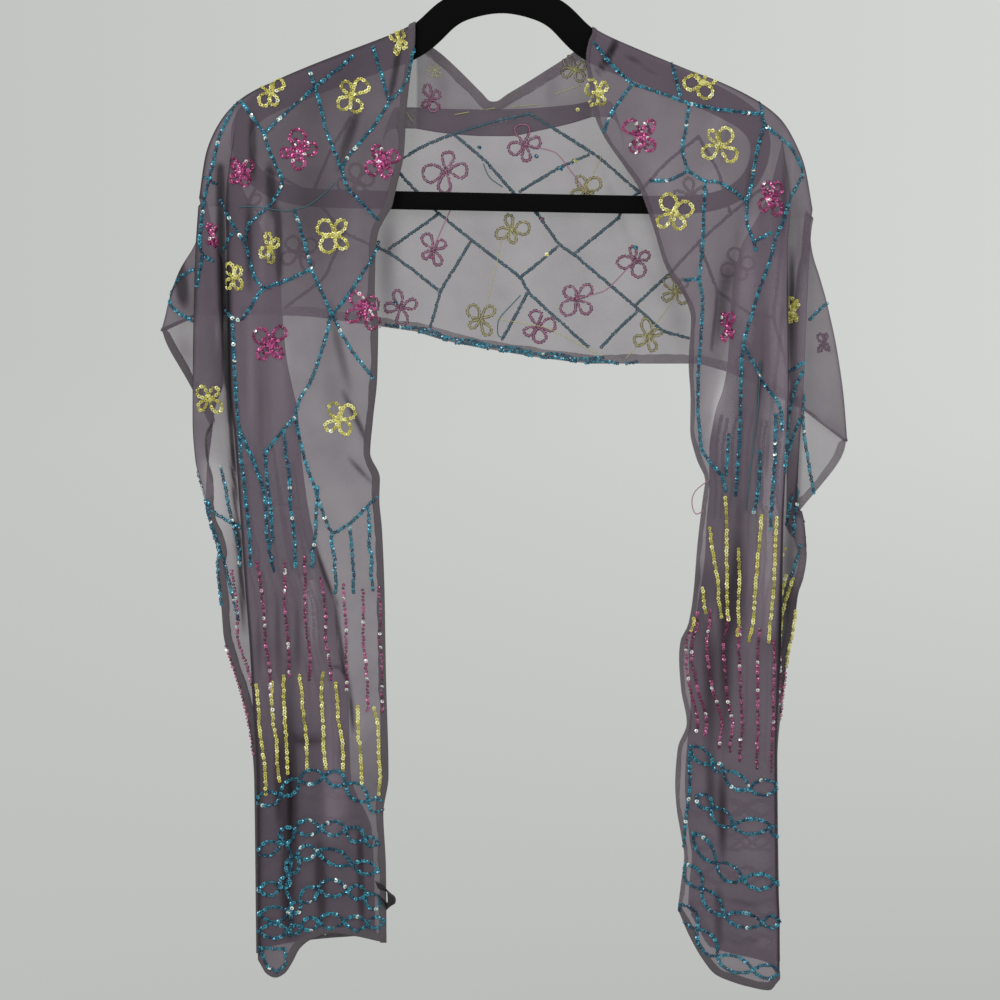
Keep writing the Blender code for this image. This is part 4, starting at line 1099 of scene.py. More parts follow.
# %% The finishes of the hanger and the hook
flock, tree, shader = material("black_flock")
bumped(tree, shader, noise(tree, 2600), 0.4, 0.0003)
set_inputs(shader, Base_Color=(0.0035, 0.0033, 0.0036, 1), Roughness=0.95, Specular_IOR_Level=0.08,
           Sheen_Weight=0.03)
plate, tree, shader = material("hook_plate")
tree.links.new(ranged(tree, noise(tree, 420), 0.3, 0.7, 0.16, 0.26), shader.inputs["Roughness"])
set_inputs(shader, Base_Color=(0.60, 0.60, 0.59, 1), Metallic=1.0)
for made, finish, word, node in ((hanger, flock, "flock", "hanger_body"),
                                 (hook, plate, "hook_steel", "hanger_hook")):
    made.data.materials.append(finish)
    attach(made, "root")
    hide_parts(node)

# %% [markdown]
# ## Laying out the embroidery
#
# The embroidery is chains of small cupped sequins, each sewn over the edge of the last. The net,
# the waves of the front and the loose threads are tables of points in the object's own sizes.
# The flowers' petals, the stripes and the waves of the hidden layers come from rules, at places
# that tables give. All of it is dropped onto the hung cloth: a ray finds the cloth under each
# point, and the way the cloth faces there goes along, so that every sequin lies on the fabric.

# %% Dropping a drawn line onto the cloth
sheet_tree = BVHTree.FromPolygons([tuple(p) for p in points[first]], [kept for kept, _ in whole])
STEP, PROUD, STITCH_DEPTH, CORNER_EASINGS = 2.5, 0.55, 0.35, 4
# Rays start before the front, or between the hanger and the back. Cloth seen edge on is passed by
FROM_FRONT, FROM_INSIDE, EDGE_ON, JUMP = -90, 2.8, 0.12, 7
chains = {kind: [] for kind in ("teal", "pink", "yellow", "berry", "thread_teal", "thread_pink",
                                "thread_yellow")}


def smooth_path(pairs):
    """Evenly spaced places along a drawn line, eased round its corners."""
    line = np.asarray(pairs, float)
    run = run_of(line)
    count = max(int(round(run[-1] / STEP)), 1)
    at = np.linspace(0, run[-1], count + 1)
    path = np.stack([np.interp(at, run, line[:, k]) for k in range(2)], axis=1)
    for _ in range(CORNER_EASINGS):
        path[1:-1] = (path[:-2] + 2 * path[1:-1] + path[2:]) / 4
    return path


def land(x, z, behind=False):
    """Where the cloth is at x, z: its place, and the way its right side faces there."""
    start = Vector((x, FROM_INSIDE if behind else FROM_FRONT, z))
    place, normal, _, _ = sheet_tree.ray_cast(start, Vector((0, 1, 0)))
    if place is None:
        return None
    place, normal = np.array(place), np.array(normal)
    if abs(normal[1]) < EDGE_ON:
        return None
    away = 1 if behind else -1
    return place, normal * away * np.sign(normal[1])


def add_run(kind, run):
    """Keeps a run of landed points, cut wherever the cloth jumps to another layer."""
    parts = [[]]
    for spot in run:
        if spot is None or (parts[-1] and np.linalg.norm(spot[0] - parts[-1][-1][0]) > JUMP):
            parts.append([])
        if spot is not None:
            parts[-1].append(spot)
    chains[kind] += [part for part in parts if len(part) > 1]


def lift(spot, height):
    """A landed point, moved off the cloth on its right side."""
    return None if spot is None else (spot[0] + spot[1] * height, spot[1])


def draw_front(kind, pairs):
    """A line on the nearest layer, as the viewer sees it."""
    add_run(kind, [lift(land(x, z), PROUD) for x, z in smooth_path(pairs)])


def draw_back(kind, pairs):
    """Sequins on the far side of the back, and the stitches that hold them on the near side."""
    spots = [land(x, z, True) for x, z in smooth_path(pairs)]
    add_run(kind, [lift(s, PROUD) for s in spots])
    add_run("thread_" + kind, [lift(s, -STITCH_DEPTH) for s in spots])


def draw_inside(kind, pairs, height=0.5):
    """A line on the near side of the back, which is what shows between the two ends."""
    spots = [land(x, z, True) for x, z in smooth_path(pairs)]
    add_run(kind, [None if s is None else (s[0] - s[1] * height, -s[1]) for s in spots])


# %% Leading lines of the front
FRONT_NETWORK = [
    [(-206, -152), (-196, -165), (-186, -179)], [(-186, -179), (-169, -163), (-150, -146), (-118, -120)],
    [(-151, -131), (-144, -152), (-138, -177), (-126, -208), (-121, -223), (-98, -246)],
    [(-186, -179), (-181, -196), (-172, -213), (-171, -219), (-181, -236), (-198, -250), (-199, -262)],
    [(-206, -152), (-221, -181), (-226, -204), (-232, -227), (-236, -262), (-235, -272), (-226, -278)],
    [(-234, -274), (-236, -290), (-238, -297)], [(-235, -211), (-223, -218)],
    [(-218, -270), (-210, -258)],
    [(-102, -112), (-93, -142), (-90, -156), (-77, -142), (-74, -130), (-71, -116), (-68, -104)],
    [(-90, -156), (-104, -177), (-123, -200), (-126, -208)],
    [(-220, -231), (-210, -250), (-200, -264), (-192, -293), (-185, -300)],
    [(-185, -300), (-166, -293), (-150, -285)],
    [(-185, -300), (-192, -308), (-196, -317), (-204, -326), (-210, -323), (-215, -316)],
    [(-162, -239), (-156, -258), (-149, -285), (-133, -320), (-119, -346), (-102, -368)],
    [(-133, -320), (-123, -308), (-102, -276), (-98, -262)],
    [(-135, -322), (-137, -335), (-144, -358), (-150, -373), (-158, -385), (-161, -399), (-172, -410),
     (-184, -427)],
    [(-161, -399), (-153, -435), (-147, -450), (-141, -470), (-133, -489), (-118, -479), (-99, -460)],
    [(-209, -326), (-206, -385), (-204, -408), (-195, -427), (-187, -447)],
    [(-235, -454), (-226, -471), (-216, -477), (-204, -483)],
    [(-184, -424), (-182.5, -447), (-179.4, -470), (-178.6, -493)],
    [(-204, -407), (-194, -430), (-185.6, -452), (-183, -470), (-183, -493)],
    [(-233, -462), (-217, -508), (-206, -554)],
    [(-240.9, -283.7), (-252.3, -289.6), (-257.2, -298.5), (-260.5, -310.2), (-255.6, -315.2),
     (-248.8, -319.6), (-239.9, -324.5)],
    [(69, -109), (82, -126), (98, -141), (123, -149), (142, -156), (162, -160), (185, -163), (198, -164)],
    [(98, -141), (90, -152), (82, -163), (76, -178)], [(128, -122), (135, -149)],
    [(142, -156), (139, -177), (136, -192), (140, -208), (154, -217), (163, -216), (177, -225),
     (186, -233)], [(112, -216), (127, -216), (140, -209)],
    [(197, -155), (200, -173), (219, -187), (227, -200), (231, -211), (227, -216), (219, -231),
     (214, -248), (208, -258), (203, -279), (195, -300), (184, -336)],
    [(200, -173), (194, -192), (190, -219), (186, -233), (186, -250), (191, -264), (192, -270)],
    [(191, -264), (204, -257)],
    [(154, -217), (152, -266), (149, -293), (152, -308), (150, -339), (148, -370), (148, -397),
     (149.3, -409), (150.5, -424), (158.8, -435), (167, -443), (169.3, -455)], [(138, -293), (149, -292)],
    [(183, -344), (192, -360), (198, -373), (208, -385), (212, -397), (212, -408)],
    [(219, -363), (224, -360), (230, -356)], [(249, -310), (241, -316), (236, -322)],
    [(171.7, -412), (170.5, -428), (169.4, -442)], [(184, -336), (181, -352), (180, -408), (177, -458)],
    [(230, -362), (224, -373), (216, -408), (214, -440)],
]
for pairs in FRONT_NETWORK:
    draw_front("teal", pairs)
print("teal chains on the front:", len(chains["teal"]))

# %% Leading lines of the back
BACK_LATTICE = [
    [(-52, -239), (-28, -259), (12, -289), (19, -302), (64, -343)],
    [(25, -240), (42, -264), (54, -272), (99, -310), (122, -331), (142, -336)],
    [(-90, -267), (-70, -253), (-52, -240)], [(-90, -270), (-72, -283), (-52, -299)],
    [(-27, -262), (-50, -299), (-58, -327)], [(12, -289), (27, -277), (40, -266)],
    [(55, -270), (72, -256), (88, -243)], [(102, -310), (116, -297), (129, -285)],
    [(75, -343), (89, -328), (102, -316)], [(-2, -337), (8, -319), (17, -302)],
    [(-81, -198), (-62, -186), (-40, -178)], [(-40, -178), (-15, -199), (6, -223)],
    [(19, -162), (46, -179), (73, -196), (104, -223)], [(12, -222), (42, -204), (65, -194)],
    [(-40, -178), (-12, -169), (19, -162)], [(-82, -208), (-76, -215), (-70, -221)],
    [(104, -223), (92, -233), (88, -243)], [(-70, -221), (-62, -230), (-52, -239)],
    [(6, -223), (16, -232), (25, -240)], [(-90, -270), (-125, -255), (-150, -225), (-185, -205)],
    [(-125, -255), (-140, -290), (-170, -312)], [(-150, -225), (-135, -190), (-120, -165)],
    [(-185, -205), (-205, -240), (-200, -290)], [(129, -285), (150, -262), (175, -240), (205, -215)],
    [(150, -262), (165, -300), (160, -345)], [(175, -240), (165, -205), (150, -180)],
    [(104, -223), (125, -200), (150, -180)], [(205, -215), (215, -260), (208, -320), (222, -370)],
    [(165, -300), (190, -318), (208, -320)],
]
for pairs in BACK_LATTICE:
    draw_back("teal", pairs)
# A double row of sequins keeps the lower hem of the back straight
for above, left_end, right_end in ((0.8, -94, 104), (3.4, -92, 78)):
    draw_inside("teal", [(x, float(along(NECK["x"], NECK["lower"], x)) + above + 1.2 * math.sin(x / 5.3))
                         for x in np.arange(left_end, right_end, 4.0)])
print("teal chains in all:", len(chains["teal"]))


# %% [markdown]
# Each flower is four looped petals round a knot of four or five sequins. The petals are drawn as
# rounded squares whose inner corners meet at the knot, each a little different in size and turn,
# because no two are sewn alike.

# %% Flowers
petal_luck = np.random.default_rng(21)
KNOT_RADIUS = 2.2
# How far chance turns a petal, stretches it, widens it and moves each of its points
TURN_LUCK, REACH, REACH_LUCK, WIDTH_LUCK, POINT_LUCK = 0.24, 1.12, (0.82, 1.12), (0.30, 0.46), 0.5
# Petal outlines from the knot outwards: a share of the reach, and a share of the half width
PETALS = [
    [(0.14, 0.12), (0.34, 0.72), (0.66, 1.0), (0.92, 0.86), (1.02, 0.2), (0.98, -0.6), (0.76, -1.0),
     (0.44, -0.86), (0.14, -0.12)],
    [(0.14, 0.1), (0.5, 0.72), (0.84, 1.12), (1.0, 0.72), (1.0, -0.5), (0.86, -1.08), (0.52, -0.76),
     (0.14, -0.1)],
    [(0.12, 0.14), (0.3, 0.9), (0.62, 1.04), (0.95, 0.66), (1.04, -0.1), (0.86, -0.86), (0.5, -1.06),
     (0.24, -0.66), (0.12, -0.14)],
]


def flower_lines(x, z, turn, size, squeeze):
    """Four petal loops and a knot, as drawn lines about x, z. squeeze narrows it in a fold."""
    lines = []
    for k in range(4):
        angle = turn + k * math.pi / 2 + petal_luck.uniform(-TURN_LUCK, TURN_LUCK)
        reach = REACH * size * petal_luck.uniform(*REACH_LUCK)
        wide = reach * petal_luck.uniform(*WIDTH_LUCK)
        shape = PETALS[int(petal_luck.integers(3))]
        flip = petal_luck.choice((-1, 1))
        c, s = math.cos(angle), math.sin(angle)
        lines.append([
            (x + squeeze * (reach * out * c - wide * across * s)
             + petal_luck.uniform(-POINT_LUCK, POINT_LUCK),
             z + reach * out * s + wide * across * c + petal_luck.uniform(-POINT_LUCK, POINT_LUCK))
            for out, across in ((a, b * flip) for a, b in shape)
        ])
    lines.append([
        (x + squeeze * KNOT_RADIUS * math.cos(a), z + KNOT_RADIUS * math.sin(a))
        for a in np.linspace(turn, turn + 5.0, 6)
    ])
    return lines


# Each row: x, z, turn, size, squeeze
FRONT_YELLOW = [
    (-181, -147, 0.6, 12, 0.9), (-119, -150, 0.7, 13, 1), (-82, -108, 1.0, 11, 0.6),
    (-131, -258, 0.75, 13, 1), (-181, -268, 0.5, 13, 0.55), (-208, -291, 0.7, 12, 0.7),
    (-229, -384, 0.9, 13, 0.9), (-128, -400, 0.6, 12, 1),
    (72, -148, 0.8, 12, 0.75), (152, -139, 0.2, 12, 1), (165, -189, 0.75, 14, 0.9),
    (130, -241, 0.5, 14, 0.95), (222, -316, 0.7, 11, 0.45),
]
FRONT_PINK = [
    (-204, -209, 0.75, 14, 0.8), (-160, -192, 0.1, 13, 1), (-95, -200, 0.5, 14, 0.9),
    (-226, -258, 0.8, 12, 0.4), (-180, -343, 0.8, 14, 1), (-108, -316, 0.6, 14, 0.9),
    (105, -182, 0.8, 14, 1), (204, -229, 0.7, 14, 0.65), (171, -330, 0.8, 13, 0.42),
]
BACK_PINK = [
    (-46, -206, 0, 15, 1), (15, -186, 0.2, 13, 1), (-56, -268, 0.6, 12, 1), (-81, -312, 0.3, 12, 1),
    (25, -327, 0.3, 12, 1), (55, -306, 0.8, 13, 1), (101, -276, 0.2, 13, 1), (-58, -150, 0.5, 11, 0.8),
    (-160, -270, 0.4, 13, 1), (180, -280, 0.3, 13, 1), (247, -340, 0.8, 9, 0.6),
]
BACK_YELLOW = [
    (62, -222, 0.6, 13, 1), (5, -252, 0.3, 12, 1), (-19, -322, 0.7, 12, 1), (112, -335, 0.4, 12, 1),
    (132, -300, 0.6, 12, 1), (54, -127, 0.5, 11, 0.9), (-115, -215, 0.2, 13, 1), (-200, -235, 0.6, 12, 1),
    (145, -225, 0.4, 12, 1), (190, -350, 0.7, 12, 1),
]
for rows, kind, draw in ((FRONT_YELLOW, "yellow", draw_front), (FRONT_PINK, "pink", draw_front),
                         (BACK_PINK, "pink", draw_back), (BACK_YELLOW, "yellow", draw_back)):
    for row in rows:
        for line in flower_lines(*row):
            draw(kind, line)
# The pink petals are sewn double, with a smaller loop inside each
for x, z, turn, size, squeeze in FRONT_PINK:
    for line in flower_lines(x, z, turn + 0.1, 0.62 * size, squeeze)[:4]:
        draw_front("pink", line)

# %% [markdown]
# The lower half of each end is worked in stripes that run down the warp: turquoise, then two more
# colours, the ends of one colour set between the stripes of the next. They follow the columns of
# the grid, so they turn with every fold, and the hidden layers carry them too, which shows through.

# %% A place on a named layer
def on_layer(side, layer, share, down):
    """The cloth and its right side's direction at a share of a layer's width and a height."""
    begin, count = LAYERS[layer]
    column = begin + np.clip(share, 0, 1) * count
    j, f = int(column), column - int(column)
    strip = side["fall"][:, j] * (1 - f) + side["fall"][:, min(j + 1, COLUMNS - 1)] * f
    row = float(np.interp(down, -strip[:, 2], np.arange(len(strip))))
    i = min(int(row), len(strip) - 2)
    place = strip[i] + (strip[i + 1] - strip[i]) * (row - i)
    across_way = side["fall"][i, min(j + 1, COLUMNS - 1)] - side["fall"][i, max(j - 1, 0)]
    normal = np.cross(strip[i + 1] - strip[i], across_way)
    steepness = np.linalg.norm(normal)
    normal = normal / steepness if steepness > 1e-9 else np.array([0.0, -1, 0])
    faces = {"front": -1, "ridge": -1, "middle": 1, "tuck": 1, "outer": -1, "edge": -1, "lip": 1}[layer]
    return place, normal * faces * (np.sign(normal[1]) or 1)


stripe_luck = np.random.default_rng(5)
# By how much of the layer's width a stripe wanders on its way, and each sequin sways in it
WANDER, WANDERINGS, SWAY = 0.012, 6, 0.004


def draw_stripe(side, kind, layer, share_top, share_foot, top, foot):
    """A nearly straight line down a layer, between two shares of its width and two heights."""
    count = max(int((foot - top) / STEP), 2)
    wander = stripe_luck.uniform(-WANDER, WANDER, WANDERINGS)
    drift = np.interp(np.linspace(0, WANDERINGS - 1, count + 1), range(WANDERINGS), wander)
    sway = stripe_luck.uniform(-SWAY, SWAY, count + 1) + drift
    spots = []
    for k in range(count + 1):
        t = k / count
        share = share_top + (share_foot - share_top) * t + sway[k]
        spots.append(lift(on_layer(side, layer, share, top + (foot - top) * t), PROUD))
    add_run(kind, spots)


# %% Stripes of the front layers
# Each row: colour, share of the width at its top and foot, distance down of its top and foot
LEFT_STRIPES = [
    ("teal", 0.97, 0.97, 410, 512), ("teal", 0.83, 0.80, 492, 516), ("teal", 0.645, 0.635, 409, 513),
    ("teal", 0.455, 0.51, 452, 513), ("teal", 0.36, 0.35, 489, 533), ("teal", 0.225, 0.225, 484, 533),
    ("teal", 0.09, 0.087, 470, 531), ("berry", 0.91, 0.87, 510, 612), ("berry", 0.727, 0.729, 510, 597),
    ("berry", 0.587, 0.571, 506, 600), ("berry", 0.46, 0.42, 522, 600), ("berry", 0.30, 0.287, 527, 608),
    ("berry", 0.156, 0.152, 531, 624), ("berry", 0.036, 0.028, 529, 625),
    ("yellow", 0.985, 0.95, 604, 688), ("yellow", 0.865, 0.855, 602, 678), ("yellow", 0.78, 0.775, 597, 672),
    ("yellow", 0.65, 0.62, 597, 668), ("yellow", 0.485, 0.49, 595, 668), ("yellow", 0.39, 0.35, 603, 670),
    ("yellow", 0.215, 0.21, 621, 682), ("yellow", 0.085, 0.06, 622, 688),
]
RIGHT_STRIPES = [
    ("teal", 0.73, 0.66, 425, 471), ("teal", 0.895, 0.875, 397, 484),
    ("yellow", 0.14, 0.345, 484, 552), ("yellow", 0.29, 0.42, 460, 554), ("yellow", 0.745, 0.70, 474, 570),
    ("yellow", 0.94, 0.90, 476, 571), ("yellow", 0.10, 0.16, 530, 549), ("yellow", 0.50, 0.56, 500, 566),
    ("yellow", 0.055, 0.06, 553, 562), ("berry", 0.045, 0.12, 562, 640), ("berry", 0.07, 0.24, 549, 643),
    ("berry", 0.215, 0.43, 547, 652), ("berry", 0.42, 0.53, 552, 655), ("berry", 0.59, 0.64, 560, 662),
    ("berry", 0.78, 0.82, 562, 668), ("berry", 0.96, 0.965, 570, 670),
]
for side, rows in ((LEFT, LEFT_STRIPES), (RIGHT, RIGHT_STRIPES)):
    for kind, share_top, share_foot, top, foot in rows:
        draw_stripe(side, kind, "front", share_top, share_foot, top, foot)

# Lines that lie across the columns, and sequins that show in the outer pleat
for kind, line in (
    ("thread_teal", [(195.3, -355.6), (194, -391), (190.6, -414.5), (187, -450), (184.6, -469.7)]),
    ("teal", [(227, -400), (221, -414.5), (215.3, -435.7)]),
    ("teal", [(230.6, -381.5), (230, -403), (231.8, -417), (236.5, -444), (239, -459)]),
    ("teal", [(-171.6, -721), (-163.3, -736), (-166.5, -751.5), (-169, -764), (-163.3, -771),
              (-164.5, -782), (-165.2, -797.5)]),
    ("yellow", [(216, -500), (212.5, -506)]),
    ("yellow", [(216.7, -520.6), (214.6, -528.6), (212.6, -536.5)]),
    ("yellow", [(222, -523), (218, -535), (214.6, -544.5), (212.7, -557.8), (212, -571)]),
    ("teal", [(227.5, -496.7), (224, -511), (220.7, -520.6)]), ("teal", [(220.7, -458), (217, -481)]),
    ("teal", [(226, -455), (224, -470), (222, -488)]), ("berry", [(212.5, -574), (212, -597), (211, -619)]),
):
    draw_front(kind, line)

# Beads that turn the outer fold, seen edge on
for side, kind, top, foot in ((LEFT, "teal", 440, 545), (LEFT, "berry", 575, 660), (RIGHT, "teal", 430, 500),
                              (RIGHT, "yellow", 548, 592), (RIGHT, "berry", 596, 632)):
    add_run(kind, [lift(on_layer(side, "edge", 0.5, down), PROUD) for down in np.arange(top, foot, STEP)])

# %% Stripes of the hidden layers
HIDDEN = {
    "middle": (0.12, 0.36, 0.60, 0.84),
    "outer": (0.06, 0.24, 0.42, 0.60, 0.78),
}
# Each row: colour, distance down of its top and foot
LEFT_BANDS = (("teal", 428, 516), ("berry", 512, 604), ("yellow", 600, 676))
RIGHT_BANDS = (("teal", 400, 470), ("yellow", 472, 560), ("berry", 556, 655))
for side, bands in ((LEFT, LEFT_BANDS), (RIGHT, RIGHT_BANDS)):
    for layer, places in HIDDEN.items():
        for n, (kind, top, foot) in enumerate(bands):
            for place in places:
                if side is RIGHT and kind != "teal" and layer == "outer" and place > 0.7:
                    continue
                share = place + (0.5 if n % 2 else 0) * 0.18 * (1 if place < 0.8 else -1)
                slip = stripe_luck.uniform(-9, 9, 2)
                draw_stripe(side, kind, layer, share, share, top + slip[0], foot + slip[1])
print("chains so far:", {k: len(v) for k, v in chains.items()})

# %% [markdown]
# The foot of each end carries rows of interlaced waves. A row is two strands that swing about one
# centre line in opposite ways, crossing at every half wave, so that they make a chain of loops.

# %% Waves
# Each row: the places where its two strands cross, from the inner edge outwards
LEFT_WAVES = [
    [(-92.3, -698.4), (-105.9, -694.7), (-122.4, -679.3), (-139, -673.8), (-158.7, -675.7),
     (-172.2, -689.8), (-192.2, -693.5)],
    [(-97.9, -726.6), (-108.3, -723.6), (-121.8, -714.3), (-141.8, -714.1), (-162.7, -713.7),
     (-173, -726.6), (-190.5, -732.8)],
    [(-97.9, -747.5), (-117.5, -742), (-144.5, -731.5), (-161.1, -734.6), (-166.4, -750.6),
     (-172.2, -761), (-190, -761)],
    [(-97.9, -777), (-105.9, -764.1), (-121.2, -762.2), (-145.2, -759.2), (-158, -770.8), (-165.4, -780),
     (-189.4, -780)],
    [(-93.6, -785.6), (-105.9, -789.9), (-123.7, -785.6), (-143.9, -785.6), (-156.8, -791.1),
     (-166.6, -792.9), (-189.4, -792.9)],
]
RIGHT_WAVES = [
    [(142.3, -651.9), (160.1, -665.3), (167.8, -670.4), (187.6, -685.1), (210.2, -681.3)],
    [(147.4, -689.6), (158.9, -699.2), (174.2, -713.2), (204.8, -711.9), (211.2, -720.9)],
    [(144.8, -718.3), (162.1, -741.9), (182.5, -754.3), (207.6, -754.7), (211.2, -757.3)],
    [(138.4, -742.6), (151.5, -761.1), (168.2, -782.4), (198.2, -787.5), (210.6, -785.3)],
    [(134.6, -773.2), (148.3, -792.4), (162.3, -814.1), (190.5, -823.7), (211, -824.9)],
]
wave_luck = np.random.default_rng(8)
# How far a strand bulges, in mm, beside a share of the way to the next crossing
BULGE, BULGE_SHARE, MOST_BULGE, BULGE_LUCK = 2.2, 0.30, 6.6, (0.82, 1.12)
# How far a hidden strand swings, and in how many steps it is drawn
SWING, SWING_STEPS = 6.2, 34


def wave_strands(nodes_at):
    """Two strands that bulge to opposite sides between each pair of crossings."""
    over_strand, under_strand = [], []
    for n, (a, b) in enumerate(zip(nodes_at, nodes_at[1:])):
        a, b = np.array(a, float), np.array(b, float)
        length = float(np.linalg.norm(b - a))
        normal = np.array([-(b - a)[1], (b - a)[0]]) / length
        way = 1 if n % 2 else -1
        t = np.linspace(0, 1, 9)
        round_top = np.sin(np.pi * t) ** 0.75
        for strand, sign in ((over_strand, way), (under_strand, -way)):
            bulge = min(MOST_BULGE, BULGE_SHARE * length + BULGE) * wave_luck.uniform(*BULGE_LUCK)
            places = a + (b - a) * t[:, None] + normal * (sign * bulge * round_top)[:, None]
            strand += [tuple(p) for p in places[(0 if n == 0 else 1):]]
    return over_strand, under_strand


for rows in (LEFT_WAVES, RIGHT_WAVES):
    for row in rows:
        for strand in wave_strands(row):
            draw_front("teal", strand)
for line in ([(142, -656), (142, -685), (139, -708), (138, -721), (137, -741)],
             [(-188.8, -806.4), (-169.7, -807)], [(-169.7, -807), (-167.1, -818), (-175.4, -824.3)],
             [(-175.4, -824.3), (-182.4, -822.4), (-188.8, -806.4)]):
    draw_front("teal", line)

# The hidden layers carry five rows too, at these distances down, and the right end's hang lower
for side, lower_by in ((LEFT, 0), (RIGHT, 13.2)):
    for layer, loops in (("middle", 2.6), ("outer", 3.0)):
        for n, centre in enumerate((686, 712, 738, 764, 790)):
            for way in (1, -1):
                spots = []
                for share in np.linspace(0.03, 0.97, SWING_STEPS):
                    swing = way * SWING * math.sin(math.pi * (loops * share + 0.3 * n))
                    spots.append(lift(on_layer(side, layer, share, centre + lower_by + swing), PROUD))
                add_run("teal", spots)
print("chains in all:", {k: len(v) for k, v in chains.items()})

# %% [markdown]
# Between the motifs the thread is carried loose across the back of the cloth. It hangs in slack
# curves and little tangles, and here and there a single sequin was sewn through with it.

# %% Loose threads and single sequins
for pairs in ([(-131, -218), (-141, -228), (-152, -236), (-167, -240)],
              [(-167, -240), (-185, -238), (-196, -236), (-205, -237)]):
    add_run("thread_teal", [lift(land(x, z), 0.4) for x, z in smooth_path(pairs)])
LOOSE = [
    ("yellow", [(-3, -259), (-6, -277), (-13, -303), (-15, -313), (-9, -319)]),
    ("yellow", [(75, -195), (67, -212), (60, -223)]),
    ("yellow", [(132, -304), (118, -324), (105, -339), (94, -352)]),
    ("yellow", [(-8, -321), (32, -328), (59, -342), (74, -350)]),
    ("teal", [(-17, -201), (-13, -212), (-2, -219)]),
    ("teal", [(12, -303), (-6, -322), (-6, -337), (0, -335)]),
    ("yellow", [(-58, -132), (-50, -132)]), ("yellow", [(-39, -163), (-28, -161)]),
    ("yellow", [(-19, -159), (-8, -157)]), ("yellow", [(5, -156), (25, -154)]),
    ("yellow", [(39, -146), (59, -139)]), ("yellow", [(-77, -161), (-72, -168)]),
    ("pink", [(-46, -206), (-40, -232), (-52, -258), (-56, -268)]),
    ("pink", [(55, -306), (78, -300), (101, -276)]), ("pink", [(15, -186), (40, -192), (62, -222)]),
]
for kind, pairs in LOOSE:
    draw_inside("thread_" + kind, pairs, 0.7)
# The threads behind a flower cross like the spokes of a wheel, a little off its middle
for x, z, turn in ((-55, -127, 0.3), (54, -127, 0.9), (62, -222, 0.2), (5, -252, 0.5),
                   (112, -335, 0.8), (132, -300, 0.1)):
    for k in range(4):
        c, s = math.cos(turn + k * math.pi / 4), math.sin(turn + k * math.pi / 4)
        draw_inside("thread_yellow", [(x - 7 * c, z - 7 * s), (x + 6 * c, z + 6 * s)], 0.6)
SINGLES = [
    ("teal", 24, -195), ("yellow", 54, -199), ("teal", 43, -205), ("teal", 101, -266), ("yellow", 32, -271),
    ("pink", -57, -274), ("teal", -85, -309), ("yellow", 56, -159), ("pink", 29, -244), ("teal", -20, -188),
]
for kind, x, z in SINGLES:
    draw_inside(kind, [(x, z), (x + 0.6, z - 0.3)])
for run in ([(-33, -125), (-25, -132), (-17, -139)], [(-46, -117), (-40, -121)]):
    draw_front("pink", run)
red_y = land(160, -450)[0][1] - 0.8
add_run("thread_pink", [(np.array((x, red_y, z)), np.array((0, -1, 0))) for x, z in smooth_path(
    [(156, -447), (145, -455), (142.5, -464), (146, -475), (152, -470)])])

# %% [markdown]
# ## Sequins
#
# Modelling thousands of sequins one by one would take for ever, and scattering them would lose
# the rows. Geometry Nodes can thread them: the drawn lines become curves, the curves are
# resampled at the pitch of the sewing, and a small open cone, which is just what a cupped sequin
# is, goes on every point, turned to lie on the cloth and then tipped a little by luck. The tip
# is what makes them glitter unevenly.

# %% The sequin tree
def new_tree(name, numbers, label):
    """A tree that takes lines and some numbers and gives one geometry, and the tree's two ends."""
    tree = bpy.data.node_groups.new(name, "GeometryNodeTree")
    face = tree.interface
    face.new_socket("Lines", in_out="INPUT", socket_type="NodeSocketGeometry")
    for word, value in numbers:
        kind = "NodeSocketInt" if word == "Seed" else "NodeSocketFloat"
        face.new_socket(word, in_out="INPUT", socket_type=kind).default_value = value
    face.new_socket(label, in_out="OUTPUT", socket_type="NodeSocketGeometry")
    return tree, tree.nodes.new("NodeGroupInput"), tree.nodes.new("NodeGroupOutput")


def join(tree, *rows):
    """Each row: a node and its output, then a node and its input."""
    for source, output, target, place in rows:
        tree.links.new(source.outputs[output], target.inputs[place])


def chance(tree, given, kind="FLOAT"):
    """A chance value for each point, which the seed fixes."""
    node = tree.nodes.new("FunctionNodeRandomValue")
    node.data_type = kind
    join(tree, (given, "Seed", node, "Seed"))
    return node


def finished(tree, source, output, finish, result, label):
    """The end of a tree: everything made real and given its material."""
    real, paint = (tree.nodes.new(f"GeometryNode{k}") for k in ("RealizeInstances", "SetMaterial"))
    paint.inputs["Material"].default_value = finish
    join(tree, (source, output, real, "Geometry"), (real, "Geometry", paint, "Geometry"),
         (paint, "Geometry", result, label))
    return tree


